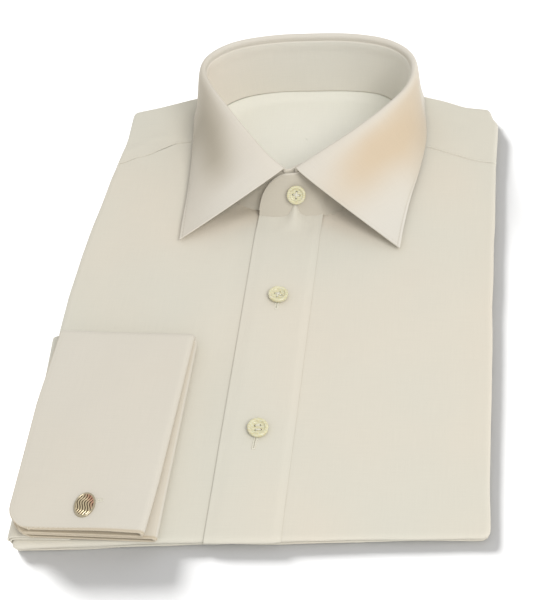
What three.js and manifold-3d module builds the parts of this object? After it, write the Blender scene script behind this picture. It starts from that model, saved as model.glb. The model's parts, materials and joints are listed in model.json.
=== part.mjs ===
// Long sleeve dress shirt, folded for the shelf, lying on its back.
// Millimetres, +Z up.  +X is the wearer's left, +Y runs from the bottom fold to the collar.
// The folded body is a low slab.  The panels that show are walls cut from that slab's skin,
// the hidden layers are one core inside it, and the collar and cuff stand on top.
import * as THREE from 'three';
import { mergeVertices } from 'three/addons/utils/BufferGeometryUtils.js';
import Module from 'manifold-3d';

const wasm = await Module();
wasm.setup();
const { Manifold, Mesh: SolidMesh } = wasm;

// ---- named sizes -------------------------------------------------------------------------
const LEAN = Math.tan(THREE.MathUtils.degToRad(4.8)); // the garment was folded a little askew
const ORIGIN = { x: -15.34, y: -177.70 };               // foot of the placket's centre line
const CLOTH = 1.2;            // wall of a body panel
const GAP = 0.3;              // between pieces that touch
const LAYERS = 2.4;           // height of the hidden layers that show under the fronts
const PLACKET = { half: 19.4, thick: 1.0, top: 219.2 };
const SLEEVE = { thick: 2.5, inner: -96, foot: 1.5, head: 128.5 };
const STAND = { thick: 1.7, seamDrop: 4.8, rollHalf: 2.2 };
const FALL = { thick: 1.2 };
const YOKE = { dip: 3.3, rim: 12 };
const CUFF = { pair: 4.6, ply: 1.75, part: 0.3, head: 121.6, foot: 0.6, corner: 13.5, lift: 3.3, back: 3.3, hole: 3.6 };
const BUTTON = { d: 11.4, t: 2.5, rim: 1.5, well: 0.7, hole: 1.5, pitch: 2.7 };
const LINK = { u: -81.0, v: 14.4, wide: 10.6, long: 14.4, t: 2.4, post: 2.6, barLong: 15, barWide: 4.4, barT: 1.5, barClear: 0.5, turn: -12 };

const table = (names, rows) => rows.map((r) => Object.fromEntries(names.map((n, i) => [n, r[i]])));

// Edge of the folded body, in the garment's own across (u) and along (v) sizes, corner radius r
const EDGE = table(['u', 'v', 'r'], [
  [-114.8, -1.2, 3.0], [-58.0, 0.0, 0], [-19.5, 2.0, 0], [40.0, 3.4, 0], [124.3, 6.0, 3.0],
  [123.6, 90.0, 0], [123.3, 200.0, 0], [124.0, 296.0, 6], [117.0, 313.8, 5], [103.0, 315.6, 0],
  [88.0, 322.8, 0], [74.0, 327.8, 0], [46.0, 334.5, 0], [2.0, 338.2, 0], [-44.0, 335.0, 0],
  [-75.5, 327.6, 0], [-97.0, 319.2, 0], [-112.6, 313.4, 4], [-113.6, 290.0, 0], [-117.4, 256.0, 0],
  [-119.8, 226.0, 0], [-123.0, 192.0, 0], [-124.0, 160.0, 0], [-123.4, 136.0, 0], [-119.0, 70.0, 0],
]);

// Height of the folded stack: rows up the garment, columns across it
const HEIGHT = table(['v', 'left', 'middle', 'right'], [
  [0, 6.9, 6.3, 5.4], [70, 7.4, 7.2, 6.2], [150, 7.8, 8.0, 7.0], [230, 8.2, 8.6, 7.7],
  [300, 7.9, 8.6, 7.8], [340, 7.2, 7.8, 7.2],
]);

// Yoke seams over the two shoulders, from the side edge to the neck
const SEAM = {
  left: table(['u', 'v'], [[-130, 267.0], [-112.7, 267.3], [-104, 272.6], [-98, 273.8], [-86.8, 281.1], [-80, 285.6], [-50, 286.6]]),
  right: table(['u', 'v'], [[50, 283.4], [81.2, 279.1], [91.4, 274.7], [102.7, 270.0], [111.9, 266.4], [130, 263.4]]),
};

// Collar, one row for each section round the neck from the wearer's right point to the left:
// b* foot of the stand, f* top of the roll, e* free edge of the fall; side: + outside, - inside
const COLLAR = table(['bu', 'bv', 'fu', 'fv', 'fz', 'eu', 'ev', 'ez', 'side'], [
  [-2.0, 222.6, -5.5, 236.0, 34.0, -64.3, 200.8, 11.2, -1.2],
  [-18.0, 223.9, -17.0, 244.6, 38.0, -64.9, 217.0, 11.6, -1.2],
  [-37.0, 233.6, -30.6, 260.0, 41.8, -65.5, 238.0, 11.8, -0.6],
  [-51.5, 251.5, -45.2, 278.4, 45.4, -67.2, 262.0, 11.8, 0],
  [-59.5, 274.0, -57.6, 294.8, 48.6, -69.8, 286.0, 11.6, 0],
  [-62.5, 297.0, -63.6, 308.5, 50.0, -72.2, 309.0, 11.0, 0],
  [-58.5, 314.5, -60.6, 321.6, 50.0, -69.5, 331.0, 9.6, 0],
  [-43.5, 327.3, -47.0, 332.6, 50.0, -52.5, 347.0, 8.0, 0],
  [-21.0, 332.6, -24.0, 338.4, 50.0, -27.0, 353.4, 7.0, 0],
  [2.5, 333.2, 2.0, 339.8, 50.0, 2.0, 355.4, 6.6, 0],
  [27.0, 332.8, 28.0, 338.8, 50.0, 31.0, 353.2, 7.0, 0],
  [47.5, 329.0, 50.4, 333.0, 50.0, 56.0, 346.0, 8.0, 0],
  [61.0, 317.5, 64.6, 321.6, 50.0, 73.6, 329.5, 9.6, 0],
  [66.3, 299.0, 69.2, 307.0, 50.0, 77.0, 309.0, 11.0, 0],
  [64.5, 276.0, 66.0, 291.0, 48.8, 79.2, 284.0, 11.4, 0],
  [56.0, 253.5, 53.4, 275.2, 46.0, 76.6, 257.0, 11.8, 0],
  [41.0, 234.8, 37.2, 259.8, 43.0, 72.0, 231.5, 11.8, 0.6],
  [22.5, 223.0, 20.4, 247.0, 39.4, 69.3, 211.0, 11.6, 1.2],
  [3.0, 220.4, 3.4, 235.6, 34.6, 67.7, 193.0, 11.2, 1.2],
]);
// The stand runs on past the meeting point at both ends, under and over
const UNDERLAP = table(['bu', 'bv', 'fu', 'fv', 'fz', 'side'], [
  [26.5, 227.8, 25.4, 250.8, 40.4, -1.3], [13.0, 224.2, 8.4, 241.4, 36.6, -1.3],
]);
const TONGUE = table(['bu', 'bv', 'fu', 'fv', 'fz', 'side'], [
  [-8.0, 220.1, -7.0, 236.2, 35.2, 1.2], [-18.6, 221.2, -18.0, 238.6, 36.6, 1.2],
]);

// Buttons down the placket, and the one on the stand
const BUTTONS = table(['name', 'u', 'v'], [['button_2', 0.0, 158.0], ['button_3', -0.2, 67.4]]);

// Edge of the cuff: fold side of the upper and lower pair and the free side, up the garment
const CUFF_SIDE = table(['v', 'free', 'upper', 'lower'], [
  [0, -118.4, -48.6, -42.6], [30, -118.9, -46.4, -42.4], [75, -119.4, -44.4, -41.8], [126, -116.8, -42.4, -41.2],
]);

// ---- frame and interpolation -------------------------------------------------------------
const place = (u, v, z) => new THREE.Vector3(ORIGIN.x + u + v * LEAN, ORIGIN.y + v, z);
const mix = THREE.MathUtils.lerp;
const step = (t, a = 0, b = 1) => THREE.MathUtils.smoothstep(t, a, b);

function column(rows, key, at, by = 'v') {
  const n = rows.length;
  if (at <= rows[0][by]) return rows[0][key];
  if (at >= rows[n - 1][by]) return rows[n - 1][key];
  let i = 0;
  while (at > rows[i + 1][by]) i++;
  const t = (at - rows[i][by]) / (rows[i + 1][by] - rows[i][by]);
  return mix(rows[i][key], rows[i + 1][key], t);
}

function stackHeight(u, v) {
  const m = column(HEIGHT, 'middle', v);
  const side = column(HEIGHT, u < 0 ? 'left' : 'right', v);
  return mix(m, side, step(Math.abs(u), 10, 118));
}

// Catmull-Rom through the rows' named columns, t counted in rows
function along(rows, keys, t) {
  const n = rows.length;
  const i = Math.min(Math.max(Math.floor(t), 0), n - 2);
  const f = t - i;
  const row = (k) => rows[Math.min(Math.max(k, 0), n - 1)];
  return keys.map((k) => {
    const [a, b, c, d] = [row(i - 1)[k], row(i)[k], row(i + 1)[k], row(i + 2)[k]];
    return 0.5 * (2 * b + (c - a) * f + (2 * a - 5 * b + 4 * c - d) * f * f + (3 * b - a - 3 * c + d) * f ** 3);
  });
}

// ---- solids ------------------------------------------------------------------------------
function solid(points, faces) {
  const vertProperties = new Float32Array(points.length * 3);
  points.forEach((p, i) => vertProperties.set([p.x, p.y, p.z], i * 3));
  let volume = 0;
  for (const [a, b, c] of faces) volume += points[a].dot(points[b].clone().cross(points[c]));
  const flat = volume < 0 ? faces.map(([a, b, c]) => [a, c, b]) : faces;
  return new Manifold(new SolidMesh({ numProp: 3, vertProperties, triVerts: new Uint32Array(flat.flat()) }));
}

function fromGeometry(geometry) {
  const g = geometry.clone();
  g.deleteAttribute('normal');
  g.deleteAttribute('uv');
  const m = mergeVertices(g, 1e-4);
  const points = [];
  const pos = m.attributes.position;
  for (let i = 0; i < pos.count; i++) points.push(new THREE.Vector3().fromBufferAttribute(pos, i));
  const faces = [];
  for (let i = 0; i < m.index.count; i += 3) faces.push([m.index.getX(i), m.index.getX(i + 1), m.index.getX(i + 2)]);
  return solid(points, faces);
}

// Closed loops stacked one on the other; the last may close on a single point
function loft(rings, closeOn) {
  const n = rings[0].length;
  const points = rings.flat();
  const faces = [];
  for (let k = 0; k + 1 < rings.length; k++) {
    for (let i = 0; i < n; i++) {
      const j = (i + 1) % n;
      const [a, b, c, d] = [k * n + i, k * n + j, (k + 1) * n + j, (k + 1) * n + i];
      faces.push([a, b, c], [a, c, d]);
    }
  }
  const cap = (start, centre, up) => {
    points.push(centre.clone());
    const at = points.length - 1;
    for (let i = 0; i < n; i++) {
      const j = (i + 1) % n;
      faces.push(up ? [start + i, start + j, at] : [start + j, start + i, at]);
    }
  };
  cap(0, closeOn.first, false);
  cap((rings.length - 1) * n, closeOn.last, true);
  return solid(points, faces);
}

// A wall between two like grids of points, the first the side that shows
function wall(face, back) {
  const rows = face.length;
  const cols = face[0].length;
  const points = [...face.flat(), ...back.flat()];
  const at = (s, i, j) => s * rows * cols + i * cols + j;
  const faces = [];
  const quad = (a, b, c, d) => faces.push([a, b, c], [a, c, d]);
  for (let i = 0; i + 1 < rows; i++) {
    for (let j = 0; j + 1 < cols; j++) {
      quad(at(0, i, j), at(0, i + 1, j), at(0, i + 1, j + 1), at(0, i, j + 1));
      quad(at(1, i, j), at(1, i, j + 1), at(1, i + 1, j + 1), at(1, i + 1, j));
    }
  }
  for (let i = 0; i + 1 < rows; i++) {
    quad(at(0, i, 0), at(1, i, 0), at(1, i + 1, 0), at(0, i + 1, 0));
    quad(at(0, i, cols - 1), at(0, i + 1, cols - 1), at(1, i + 1, cols - 1), at(1, i, cols - 1));
  }
  for (let j = 0; j + 1 < cols; j++) {
    quad(at(0, 0, j), at(0, 0, j + 1), at(1, 0, j + 1), at(1, 0, j));
    quad(at(0, rows - 1, j), at(1, rows - 1, j), at(1, rows - 1, j + 1), at(0, rows - 1, j + 1));
  }
  return solid(points, faces);
}

// Upright block over an outline given in garment sizes
function block(outline, low = -5, high = 90) {
  const pts = outline.map(([u, v]) => { const p = place(u, v, 0); return new THREE.Vector2(p.x, p.y); });
  const g = new THREE.ExtrudeGeometry(new THREE.Shape(pts), { depth: high - low, bevelEnabled: false });
  g.translate(0, 0, low);
  return fromGeometry(g);
}

// ---- the folded body ---------------------------------------------------------------------
function edgeLoop() {
  const loop = [];
  const n = EDGE.length;
  EDGE.forEach((row, i) => {
    const here = new THREE.Vector2(row.u, row.v);
    if (!row.r) { loop.push(here); return; }
    const a = EDGE[(i + n - 1) % n];
    const b = EDGE[(i + 1) % n];
    const da = new THREE.Vector2(a.u - row.u, a.v - row.v).normalize().multiplyScalar(row.r);
    const db = new THREE.Vector2(b.u - row.u, b.v - row.v).normalize().multiplyScalar(row.r);
    for (const t of [0, 0.5, 1]) {
      const p = here.clone().add(da.clone().multiplyScalar((1 - t) ** 2)).add(db.clone().multiplyScalar(t ** 2));
      loop.push(p);
    }
  });
  const fine = [];
  loop.forEach((p, i) => {
    const q = loop[(i + 1) % loop.length];
    const parts = Math.max(1, Math.round(p.distanceTo(q) / 38));
    for (let k = 0; k < parts; k++) fine.push(p.clone().lerp(q, k / parts));
  });
  return fine;
}
const LOOP = edgeLoop();
const OUTWARD = LOOP.map((p, i) => {
  const a = LOOP[(i + LOOP.length - 1) % LOOP.length];
  const b = LOOP[(i + 1) % LOOP.length];
  return new THREE.Vector2(b.y - a.y, -(b.x - a.x)).normalize();
});
const MIDDLE = { u: 2, v: 165 };

// One ring of the slab, set in from the edge, at a share of the height above the foot
function ring(inset, z) {
  return LOOP.map((p, i) => {
    const u = p.x - OUTWARD[i].x * inset;
    const v = p.y - OUTWARD[i].y * inset;
    return place(u, v, z(u, v, p));
  });
}
function topRings(inset, rise) {
  return [0.9, 0.7, 0.46, 0.22].map((s) => LOOP.map((p, i) => {
    const u = mix(MIDDLE.u, p.x - OUTWARD[i].x * inset, s);
    const v = mix(MIDDLE.v, p.y - OUTWARD[i].y * inset, s);
    return place(u, v, stackHeight(u, v) + rise);
  }));
}
// Rolled edge from the foot to the top: share of the roll's reach and of its height
const ROLL = table(['set', 'up'], [[0.5, 0], [0.1, 0.14], [0, 0.4], [0.22, 0.72], [0.62, 0.92], [1, 1]]);
function slab(out, rise, foot, low = 0) {
  const rings = [];
  const reach = 2.6;
  if (low) rings.push(ring(-out + reach * ROLL[0].set, () => foot - low));
  for (const r of ROLL) {
    rings.push(ring(-out + reach * r.set, (u, v, p) => mix(foot, stackHeight(p.x, p.y) + rise, r.up)));
  }
  rings.push(...topRings(-out + reach, rise));
  const { u, v } = MIDDLE;
  return loft(rings, {
    first: place(u, v, foot - low),
    last: place(u, v, stackHeight(u, v) + rise),
  });
}

const NECK_STEPS = 34;
// Neck: the line where the stand is sewn on, taken from the stand's own feet
function neckLoop(grow, from = 0.35, to = 17.65, steps = NECK_STEPS) {
  const pts = [];
  for (let k = 0; k < steps; k++) {
    const t = mix(from, to, k / (steps - 1));
    const [u, v] = along(COLLAR, ['bu', 'bv'], t);
    const [u2, v2] = along(COLLAR, ['bu', 'bv'], t + 0.05);
    const d = new THREE.Vector2(u2 - u, v2 - v).normalize();
    pts.push([u - d.y * grow, v + d.x * grow]);
  }
  return pts;
}

const core = (() => {
  // profile of the folded edges: two layers with a groove, then the filling
  const layers = table(['inset', 'z'], [
    [1.3, 0], [0.5, 0.3], [0.5, 0.85], [1.3, 1.1], [1.3, 1.25], [0.3, 1.5], [0.3, 1.85], [0.9, 2.1], [3.6, 2.1],
  ]);
  const rings = layers.map((r) => ring(r.inset, () => r.z));
  const under = CLOTH + GAP + 0.05;
  for (const r of ROLL) {
    rings.push(ring(under + 0.4 + 2.6 * r.set, (u, v, p) => mix(2.3, stackHeight(p.x, p.y) - under, r.up)));
  }
  rings.push(...topRings(under + 3.0, -under));
  const { u, v } = MIDDLE;
  return loft(rings, { first: place(u, v, 0), last: place(u, v, stackHeight(u, v) - under) });
})();

const shell = (rise, thick, foot) => slab(rise + thick, rise + thick, foot).subtract(slab(rise, rise, foot, 4));
const skin = slab(0, 0, LAYERS).subtract(slab(-CLOTH, -CLOTH, LAYERS, 4));

// Inside of the back yoke, seen through the neck: a shallow bowl below the fronts
function bowl(grow, top, bottom) {
  const loop = neckLoop(grow, 0, 18);
  const cu = 2.5;
  const cv = 290;
  const dip = (v, s) => YOKE.dip * Math.max(step(1 - s, 0, 0.22), step(301 - v, 0, 12));
  const rings = [];
  const shares = [1, 0.92, 0.8, 0.5];
  const level = (s, f) => loop.map(([u, v]) => {
    const a = mix(cu, u, s);
    const b = mix(cv, v, s);
    return place(a, b, f(a, b, s));
  });
  const face = (f) => shares.map((s) => level(s, f));
  const surf = (off) => (a, b, s) => stackHeight(a, b) - dip(b, s) + off;
  const low = face(surf(bottom)).reverse();
  const high = top === null ? face(() => 40) : face(surf(top));
  rings.push(...low, ...high);
  return loft(rings, {
    first: place(cu, cv, stackHeight(cu, cv) - YOKE.dip + bottom),
    last: place(cu, cv, top === null ? 40 : stackHeight(cu, cv) - YOKE.dip + top),
  });
}

const pairs = (rows) => rows.map((r) => [r.u, r.v]);
const shift = (pts, dv) => pts.map(([u, v]) => [u, v + dv]);
const FAR = 140;
const seamL = pairs(SEAM.left);
const seamR = pairs(SEAM.right);
const neckBlock = block(neckLoop(0.2, 0, 18));

const below = (seam, side) => (side < 0
  ? [[-FAR, -10], [16, -10], [16, 262], [-50, 286.3], ...shift(seam, -GAP / 2).slice(0, -1).reverse()]
  : [[PLACKET.half + GAP, -10], [FAR, -10], ...shift(seam, -GAP / 2).slice(1).reverse(), [50, 283.1], [PLACKET.half + GAP, 262]]);
const frontRight = skin.intersect(block(below(seamL, -1))).subtract(neckBlock);
const frontLeft = skin.intersect(block(below(seamR, 1))).subtract(neckBlock);
const yokeArea = block([...shift(seamL, GAP / 2), [-30, 300], [30, 300], ...shift(seamR, GAP / 2), [FAR, 360], [-FAR, 360]]);
const yoke = skin.intersect(yokeArea).subtract(neckBlock).add(bowl(0.8, 0, -CLOTH));
const coreBody = core.subtract(bowl(1.4, null, -CLOTH - GAP));

const placketBlock = block([[-PLACKET.half, -20], [PLACKET.half, -20], [PLACKET.half, PLACKET.top], [-PLACKET.half + 2, PLACKET.top], [-PLACKET.half, PLACKET.top - 2]]);
const placket = shell(GAP, PLACKET.thick, LAYERS).intersect(placketBlock);
const sleeve = shell(GAP, SLEEVE.thick, LAYERS).intersect(block([
  [-FAR, SLEEVE.foot], [SLEEVE.inner, SLEEVE.foot], [SLEEVE.inner, SLEEVE.head], [-FAR, SLEEVE.head]]));

// ---- collar ------------------------------------------------------------------------------
const STATIONS = [...UNDERLAP, ...COLLAR, ...TONGUE];
const FIRST = UNDERLAP.length;
const heading = (rows, t, a, b) => {
  const [u1, v1] = along(rows, [a, b], t - 0.04);
  const [u2, v2] = along(rows, [a, b], t + 0.04);
  return new THREE.Vector2(-(v2 - v1), u2 - u1).normalize();  // outward in plan
};
const STAND_STEPS = 54;
const stand = (() => {
  const face = [];
  const back = [];
  const last = STATIONS.length - 1;
  const ends = { under: 20, over: 19 };
  // distance travelled along the foot, so that both ends can be rounded off
  const ts = Array.from({ length: STAND_STEPS + 1 }, (_, k) => mix(0, last, k / STAND_STEPS));
  const foot = (t) => along(STATIONS, ['bu', 'bv'], t);
  const run = [0];
  for (let k = 1; k < ts.length; k++) {
    const [a, b] = foot(ts[k - 1]);
    const [c, d] = foot(ts[k]);
    run.push(run[k - 1] + Math.hypot(c - a, d - b));
  }
  const total = run[run.length - 1];
  const round = (d, r) => (d >= r ? 1 : Math.sqrt(Math.max(0, 1 - (1 - d / r) ** 2)));
  ts.forEach((t, k) => {
    const [bu, bv, fu, fv, fz, side] = along(STATIONS, ['bu', 'bv', 'fu', 'fv', 'fz', 'side'], t);
    const o = heading(STATIONS, t, 'bu', 'bv');
    const q = heading(STATIONS, t, 'fu', 'fv');
    const share = 0.14 + 0.86 * Math.min(round(run[k], ends.under), round(total - run[k], ends.over));
    const rowFace = [];
    const rowBack = [];
    for (let j = 0; j <= 3; j++) {
      const s = (j / 3) * share;
      const dir = o.clone().lerp(q, s).normalize();
      const inner = side * 1.0 * (1 - 0.25 * s);
      const footZ = stackHeight(bu, bv) + (Math.abs(bu) < 20.5 && bv < 225 ? PLACKET.thick + GAP : 0) + 2 * GAP;
      const topZ = fz - STAND.seamDrop;
      const cu = mix(bu, fu - q.x * (STAND.rollHalf - STAND.thick / 2), s) + dir.x * inner;
      const cv = mix(bv, fv - q.y * (STAND.rollHalf - STAND.thick / 2), s) + dir.y * inner;
      const cz = mix(footZ, topZ, s);
      const h = STAND.thick / 2;
      rowFace.push(place(cu + dir.x * h, cv + dir.y * h, cz));
      rowBack.push(place(cu - dir.x * h, cv - dir.y * h, cz));
    }
    face.push(rowFace);
    back.push(rowBack);
  });
  return wall(face, back);
})();

// Section of the fall: up the inside from the seam, over the roll, down to the free edge
function fallLine(t) {
  const [fu, fv, fz, eu, ev, ez] = along(COLLAR, ['fu', 'fv', 'fz', 'eu', 'ev', 'ez'], t);
  const o = heading(COLLAR, t, 'fu', 'fv');
  const r = STAND.rollHalf;
  const at = (reach, z) => place(fu + o.x * reach, fv + o.y * reach, z);
  const line = [at(-r, fz - STAND.seamDrop + GAP), at(-r, fz - 2.4), at(-r * 0.72, fz - 0.7), at(0, fz)];
  const start = new THREE.Vector3(fu, fv, fz);
  const end = new THREE.Vector3(eu, ev, ez);
  const span = start.distanceTo(end);
  const drop = fz - ez;
  const front = step(span, 44, 74);             // 1 at the points, 0 round the back
  const c1 = new THREE.Vector3(fu + o.x * mix(4.2, 9, front), fv + o.y * mix(4.2, 9, front), fz - mix(0.2, 0.4, front));
  const away = new THREE.Vector2(eu - fu, ev - fv).normalize();
  const c2 = new THREE.Vector3(eu - away.x * mix(5.0, 20, front), ev - away.y * mix(5.0, 20, front), ez + drop * mix(0.34, 0.22, front));
  const curve = new THREE.CubicBezierCurve3(start, c1, c2, end);
  for (const s of [0.08, 0.2, 0.36, 0.56, 0.78, 1]) {
    const p = curve.getPoint(s);
    line.push(place(p.x, p.y, p.z));
  }
  return line;
}
const FALL_STEPS = 42;
const fall = (() => {
  const face = Array.from({ length: FALL_STEPS + 1 }, (_, k) => fallLine((COLLAR.length - 1) * k / FALL_STEPS));
  const rows = face.length;
  const cols = face[0].length;
  const back = face.map((line, i) => line.map((p, j) => {
    const du = face[Math.min(i + 1, rows - 1)][j].clone().sub(face[Math.max(i - 1, 0)][j]);
    const dv = line[Math.min(j + 1, cols - 1)].clone().sub(line[Math.max(j - 1, 0)]);
    return p.clone().addScaledVector(dv.cross(du).normalize(), -FALL.thick);
  }));
  return wall(face, back);
})();

// ---- cuff: turned back on itself, then folded in half round the wrist ----------------------
const cuffBase = (u, v) => stackHeight(u, v) + 2 * GAP + CUFF.lift * THREE.MathUtils.clamp((-u - 45) / 70, 0, 1) + 0.2;
const cuffMid = (u, v) => cuffBase(u, v) + CUFF.pair + CUFF.part / 2;
const cuff = (() => {
  const T = CUFF.pair;
  const p = CUFF.ply;
  // section across the width: w from the free edge (0) to the fold (1, with reach back), n outward
  const shape = [];
  const arc = (centre, r, from, to, parts) => {
    for (let i = 0; i <= parts; i++) {
      const a = mix(from, to, i / parts);
      shape.push({ side: 'fold', w: centre[0] + r * 1.5 * Math.cos(a), n: centre[1] + r * Math.sin(a) });
    }
  };
  shape.push({ side: 'outerFree', w: 0, n: T });
  arc([-T / 2 * 1.5, T / 2], T / 2, Math.PI / 2, -Math.PI / 2, 6);
  shape.push({ side: 'innerFree', w: 0, n: 0 }, { side: 'innerFree', w: 0, n: p });
  arc([-T / 2 * 1.5, T / 2], T / 2 - p, -Math.PI / 2, Math.PI / 2, 4);
  shape.push({ side: 'outerFree', w: 0, n: T - p });
  const stops = [CUFF.foot, 1.4, 3.4, 6.4, 10, 14, 40, 80, 108, CUFF.head];
  const stations = [
    ...stops.map((v) => ({ v, a: -Math.PI / 2, up: -1 })),
    ...[-60, -30, 0, 30, 60].map((d) => ({ v: CUFF.head, a: THREE.MathUtils.degToRad(d), up: 0 })),
    ...stops.slice().reverse().map((v) => ({ v, a: Math.PI / 2, up: 1 })),
  ];
  const rings = stations.map(({ v, a, up }) => {
    const turn = (up === 0 ? (a / Math.PI + 0.5) : (up + 1) / 2);
    const fold = mix(column(CUFF_SIDE, 'lower', v), column(CUFF_SIDE, 'upper', v), turn);
    const free = column(CUFF_SIDE, 'free', v);
    const d = v - CUFF.foot;
    const c = CUFF.corner;
    const cut = d < c ? c - Math.sqrt(Math.max(0, c * c - (c - d) ** 2)) : 0;
    return shape.map((s) => {
      let u = fold + s.w;
      if (s.side === 'outerFree') u = free + Math.min(cut, 12);
      if (s.side === 'innerFree') u = free + CUFF.back;
      const reach = CUFF.part / 2 + s.n;
      return place(u, v + reach * Math.cos(a), cuffMid(u, v) + reach * Math.sin(a));
    });
  });
  // caps: triangulate the section itself
  const outline = shape.map((s) => new THREE.Vector2(s.side === 'fold' ? 70 + s.w : (s.side === 'innerFree' ? 1 : 0), s.n));
  const tris = THREE.ShapeUtils.triangulateShape(outline, []);
  const n = shape.length;
  const points = rings.flat();
  const faces = [];
  for (let k = 0; k + 1 < rings.length; k++) {
    for (let i = 0; i < n; i++) {
      const j = (i + 1) % n;
      const [e, f, g, h] = [k * n + i, k * n + j, (k + 1) * n + j, (k + 1) * n + i];
      faces.push([e, g, f], [e, h, g]);
    }
  }
  // triangulateShape keeps the outline's own turning
  const turning = THREE.ShapeUtils.area(outline) > 0;
  for (const [e, f, g] of tris) {
    const o = (rings.length - 1) * n;
    faces.push(turning ? [e, f, g] : [e, g, f], turning ? [o + e, o + g, o + f] : [o + e, o + f, o + g]);
  }
  return { points, faces, rings };
})();

// ---- hard parts --------------------------------------------------------------------------
function button() {
  const r = BUTTON.d / 2;
  const t = BUTTON.t;
  const profile = [[0, 0], [r - 1.0, 0], [r, 0.7], [r, 1.7], [r - 0.5, t], [r - BUTTON.rim, t], [r - BUTTON.rim - 0.5, t - BUTTON.well], [0, t - BUTTON.well]];
  const disc = fromGeometry(new THREE.LatheGeometry(profile.map(([x, y]) => new THREE.Vector2(x, y)), 28).rotateX(Math.PI / 2));
  const h = BUTTON.pitch / 2;
  let out = disc;
  for (const [x, y] of [[h, h], [-h, h], [-h, -h], [h, -h]]) {
    const g = new THREE.CylinderGeometry(BUTTON.hole / 2, BUTTON.hole / 2, 6, 10).rotateX(Math.PI / 2).translate(x, y, 1);
    out = out.subtract(fromGeometry(g));
  }
  return out;
}
function oval(wide, long, levels) {
  // levels: share of the size and height
  const n = 28;
  const rings = levels.map(({ size, z }) => Array.from({ length: n }, (_, i) => {
    const a = (i / n) * 2 * Math.PI;
    return new THREE.Vector3(Math.cos(a) * wide / 2 * size, Math.sin(a) * long / 2 * size, z);
  }));
  return loft(rings, { first: new THREE.Vector3(0, 0, levels[0].z), last: new THREE.Vector3(0, 0, levels[levels.length - 1].z) });
}

// ---- scene graph -------------------------------------------------------------------------
const ivory = { color: 0xe4ddcb, roughness: 0.85, metalness: 0 };
const paint = {
  cloth: () => new THREE.MeshStandardMaterial(ivory),
  cuff: () => new THREE.MeshStandardMaterial({ ...ivory, color: 0xe0d8c8 }),
  button: () => new THREE.MeshStandardMaterial({ color: 0xe0dcb2, roughness: 0.35, metalness: 0 }),
  metal: () => new THREE.MeshStandardMaterial({ color: 0xc9b27c, roughness: 0.25, metalness: 1 }),
};
function geometryOf(body) {
  const m = body.getMesh();
  const g = new THREE.BufferGeometry();
  const pos = new Float32Array(m.numVert * 3);
  for (let i = 0; i < m.numVert; i++) for (let k = 0; k < 3; k++) pos[i * 3 + k] = m.vertProperties[i * m.numProp + k];
  g.setAttribute('position', new THREE.BufferAttribute(pos, 3));
  g.setIndex(new THREE.BufferAttribute(new Uint32Array(m.triVerts), 1));
  g.computeVertexNormals();
  return g;
}
const shirt = new THREE.Group();
shirt.name = 'shirt';
function add(name, body, material, at = null, turn = null) {
  const mesh = new THREE.Mesh(geometryOf(body), material());
  mesh.name = name;
  if (at) mesh.position.copy(at);
  if (turn) mesh.rotation.copy(turn);
  shirt.add(mesh);
  return mesh;
}
add('folded_layers', coreBody, paint.cloth);
add('front_right', frontRight, paint.cloth);
add('front_left', frontLeft, paint.cloth);
add('placket', placket, paint.cloth);
add('yoke', yoke, paint.cloth);
add('sleeve_right', sleeve, paint.cloth);
add('collar_stand', stand, paint.cloth);
add('collar_fall', fall, paint.cloth);

// cufflink: an oval head on a post through all four plies, with a toggle below them
const linkBase = cuffMid(LINK.u, LINK.v) + CUFF.part / 2 + CUFF.pair;
const linkFoot = cuffBase(LINK.u, LINK.v);
const cuffBody = solid(cuff.points, cuff.faces).subtract(
  fromGeometry(new THREE.CylinderGeometry(CUFF.hole / 2, CUFF.hole / 2, 40, 16).rotateX(Math.PI / 2))
    .translate(place(LINK.u, LINK.v, 12).toArray()));
add('cuff_right', cuffBody, paint.cuff);
const head = oval(LINK.wide, LINK.long, [{ size: 0.8, z: 0.35 }, { size: 0.97, z: 0.8 }, { size: 1, z: 1.3 }, { size: 0.96, z: 1.9 }, { size: 0.7, z: LINK.t + 0.1 }, { size: 0.35, z: LINK.t + 0.3 }]);
const postLow = linkFoot - linkBase - LINK.barClear + 0.3;
const post = fromGeometry(new THREE.CylinderGeometry(LINK.post / 2, LINK.post / 2, 1.4 - postLow, 16).rotateX(Math.PI / 2).translate(0, 0, (1.4 + postLow) / 2));
const turned = new THREE.Euler(0, 0, THREE.MathUtils.degToRad(LINK.turn));
add('cufflink', head.add(post), paint.metal, place(LINK.u, LINK.v, linkBase), turned);
const bar = oval(LINK.barWide, LINK.barLong, [{ size: 0.8, z: 0 }, { size: 1, z: 0.5 }, { size: 1, z: LINK.barT - 0.5 }, { size: 0.8, z: LINK.barT }]);
add('cufflink_toggle', bar, paint.metal, place(LINK.u, LINK.v, linkFoot - LINK.barClear - LINK.barT), turned);

// buttons: the placket's lie flat, the collar's leans back with the stand
for (const b of BUTTONS) add(b.name, button(), paint.button, place(b.u, b.v, stackHeight(b.u, b.v) + PLACKET.thick + 3 * GAP));
const tu = 3.4;
const row = COLLAR[COLLAR.length - 1];
const rise = row.fz - STAND.seamDrop - stackHeight(row.bu, row.bv) - PLACKET.thick - 3 * GAP;
const backward = row.fv + 1.3 - row.bv;
const lean = Math.atan2(backward, rise);
const half = 0.5;
const centre = place(tu, row.bv + backward * half - 1.2, stackHeight(tu, row.bv) + PLACKET.thick + 3 * GAP + rise * half);
const off = STAND.thick / 2 + 0.55;
centre.add(new THREE.Vector3(0, -Math.cos(lean) * off, Math.sin(lean) * off));
add('button_collar', button(), paint.button, centre, new THREE.Euler(Math.PI / 2 - lean, 0, 0));

export default shirt;
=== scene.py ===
# Folded long sleeve dress shirt: the look of every piece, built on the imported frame.
# Sizes below are millimetres in the garment's own frame: u across, v along the placket, z up.
import bpy, json, math
import numpy as np
from mathutils import Matrix, Vector

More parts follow.
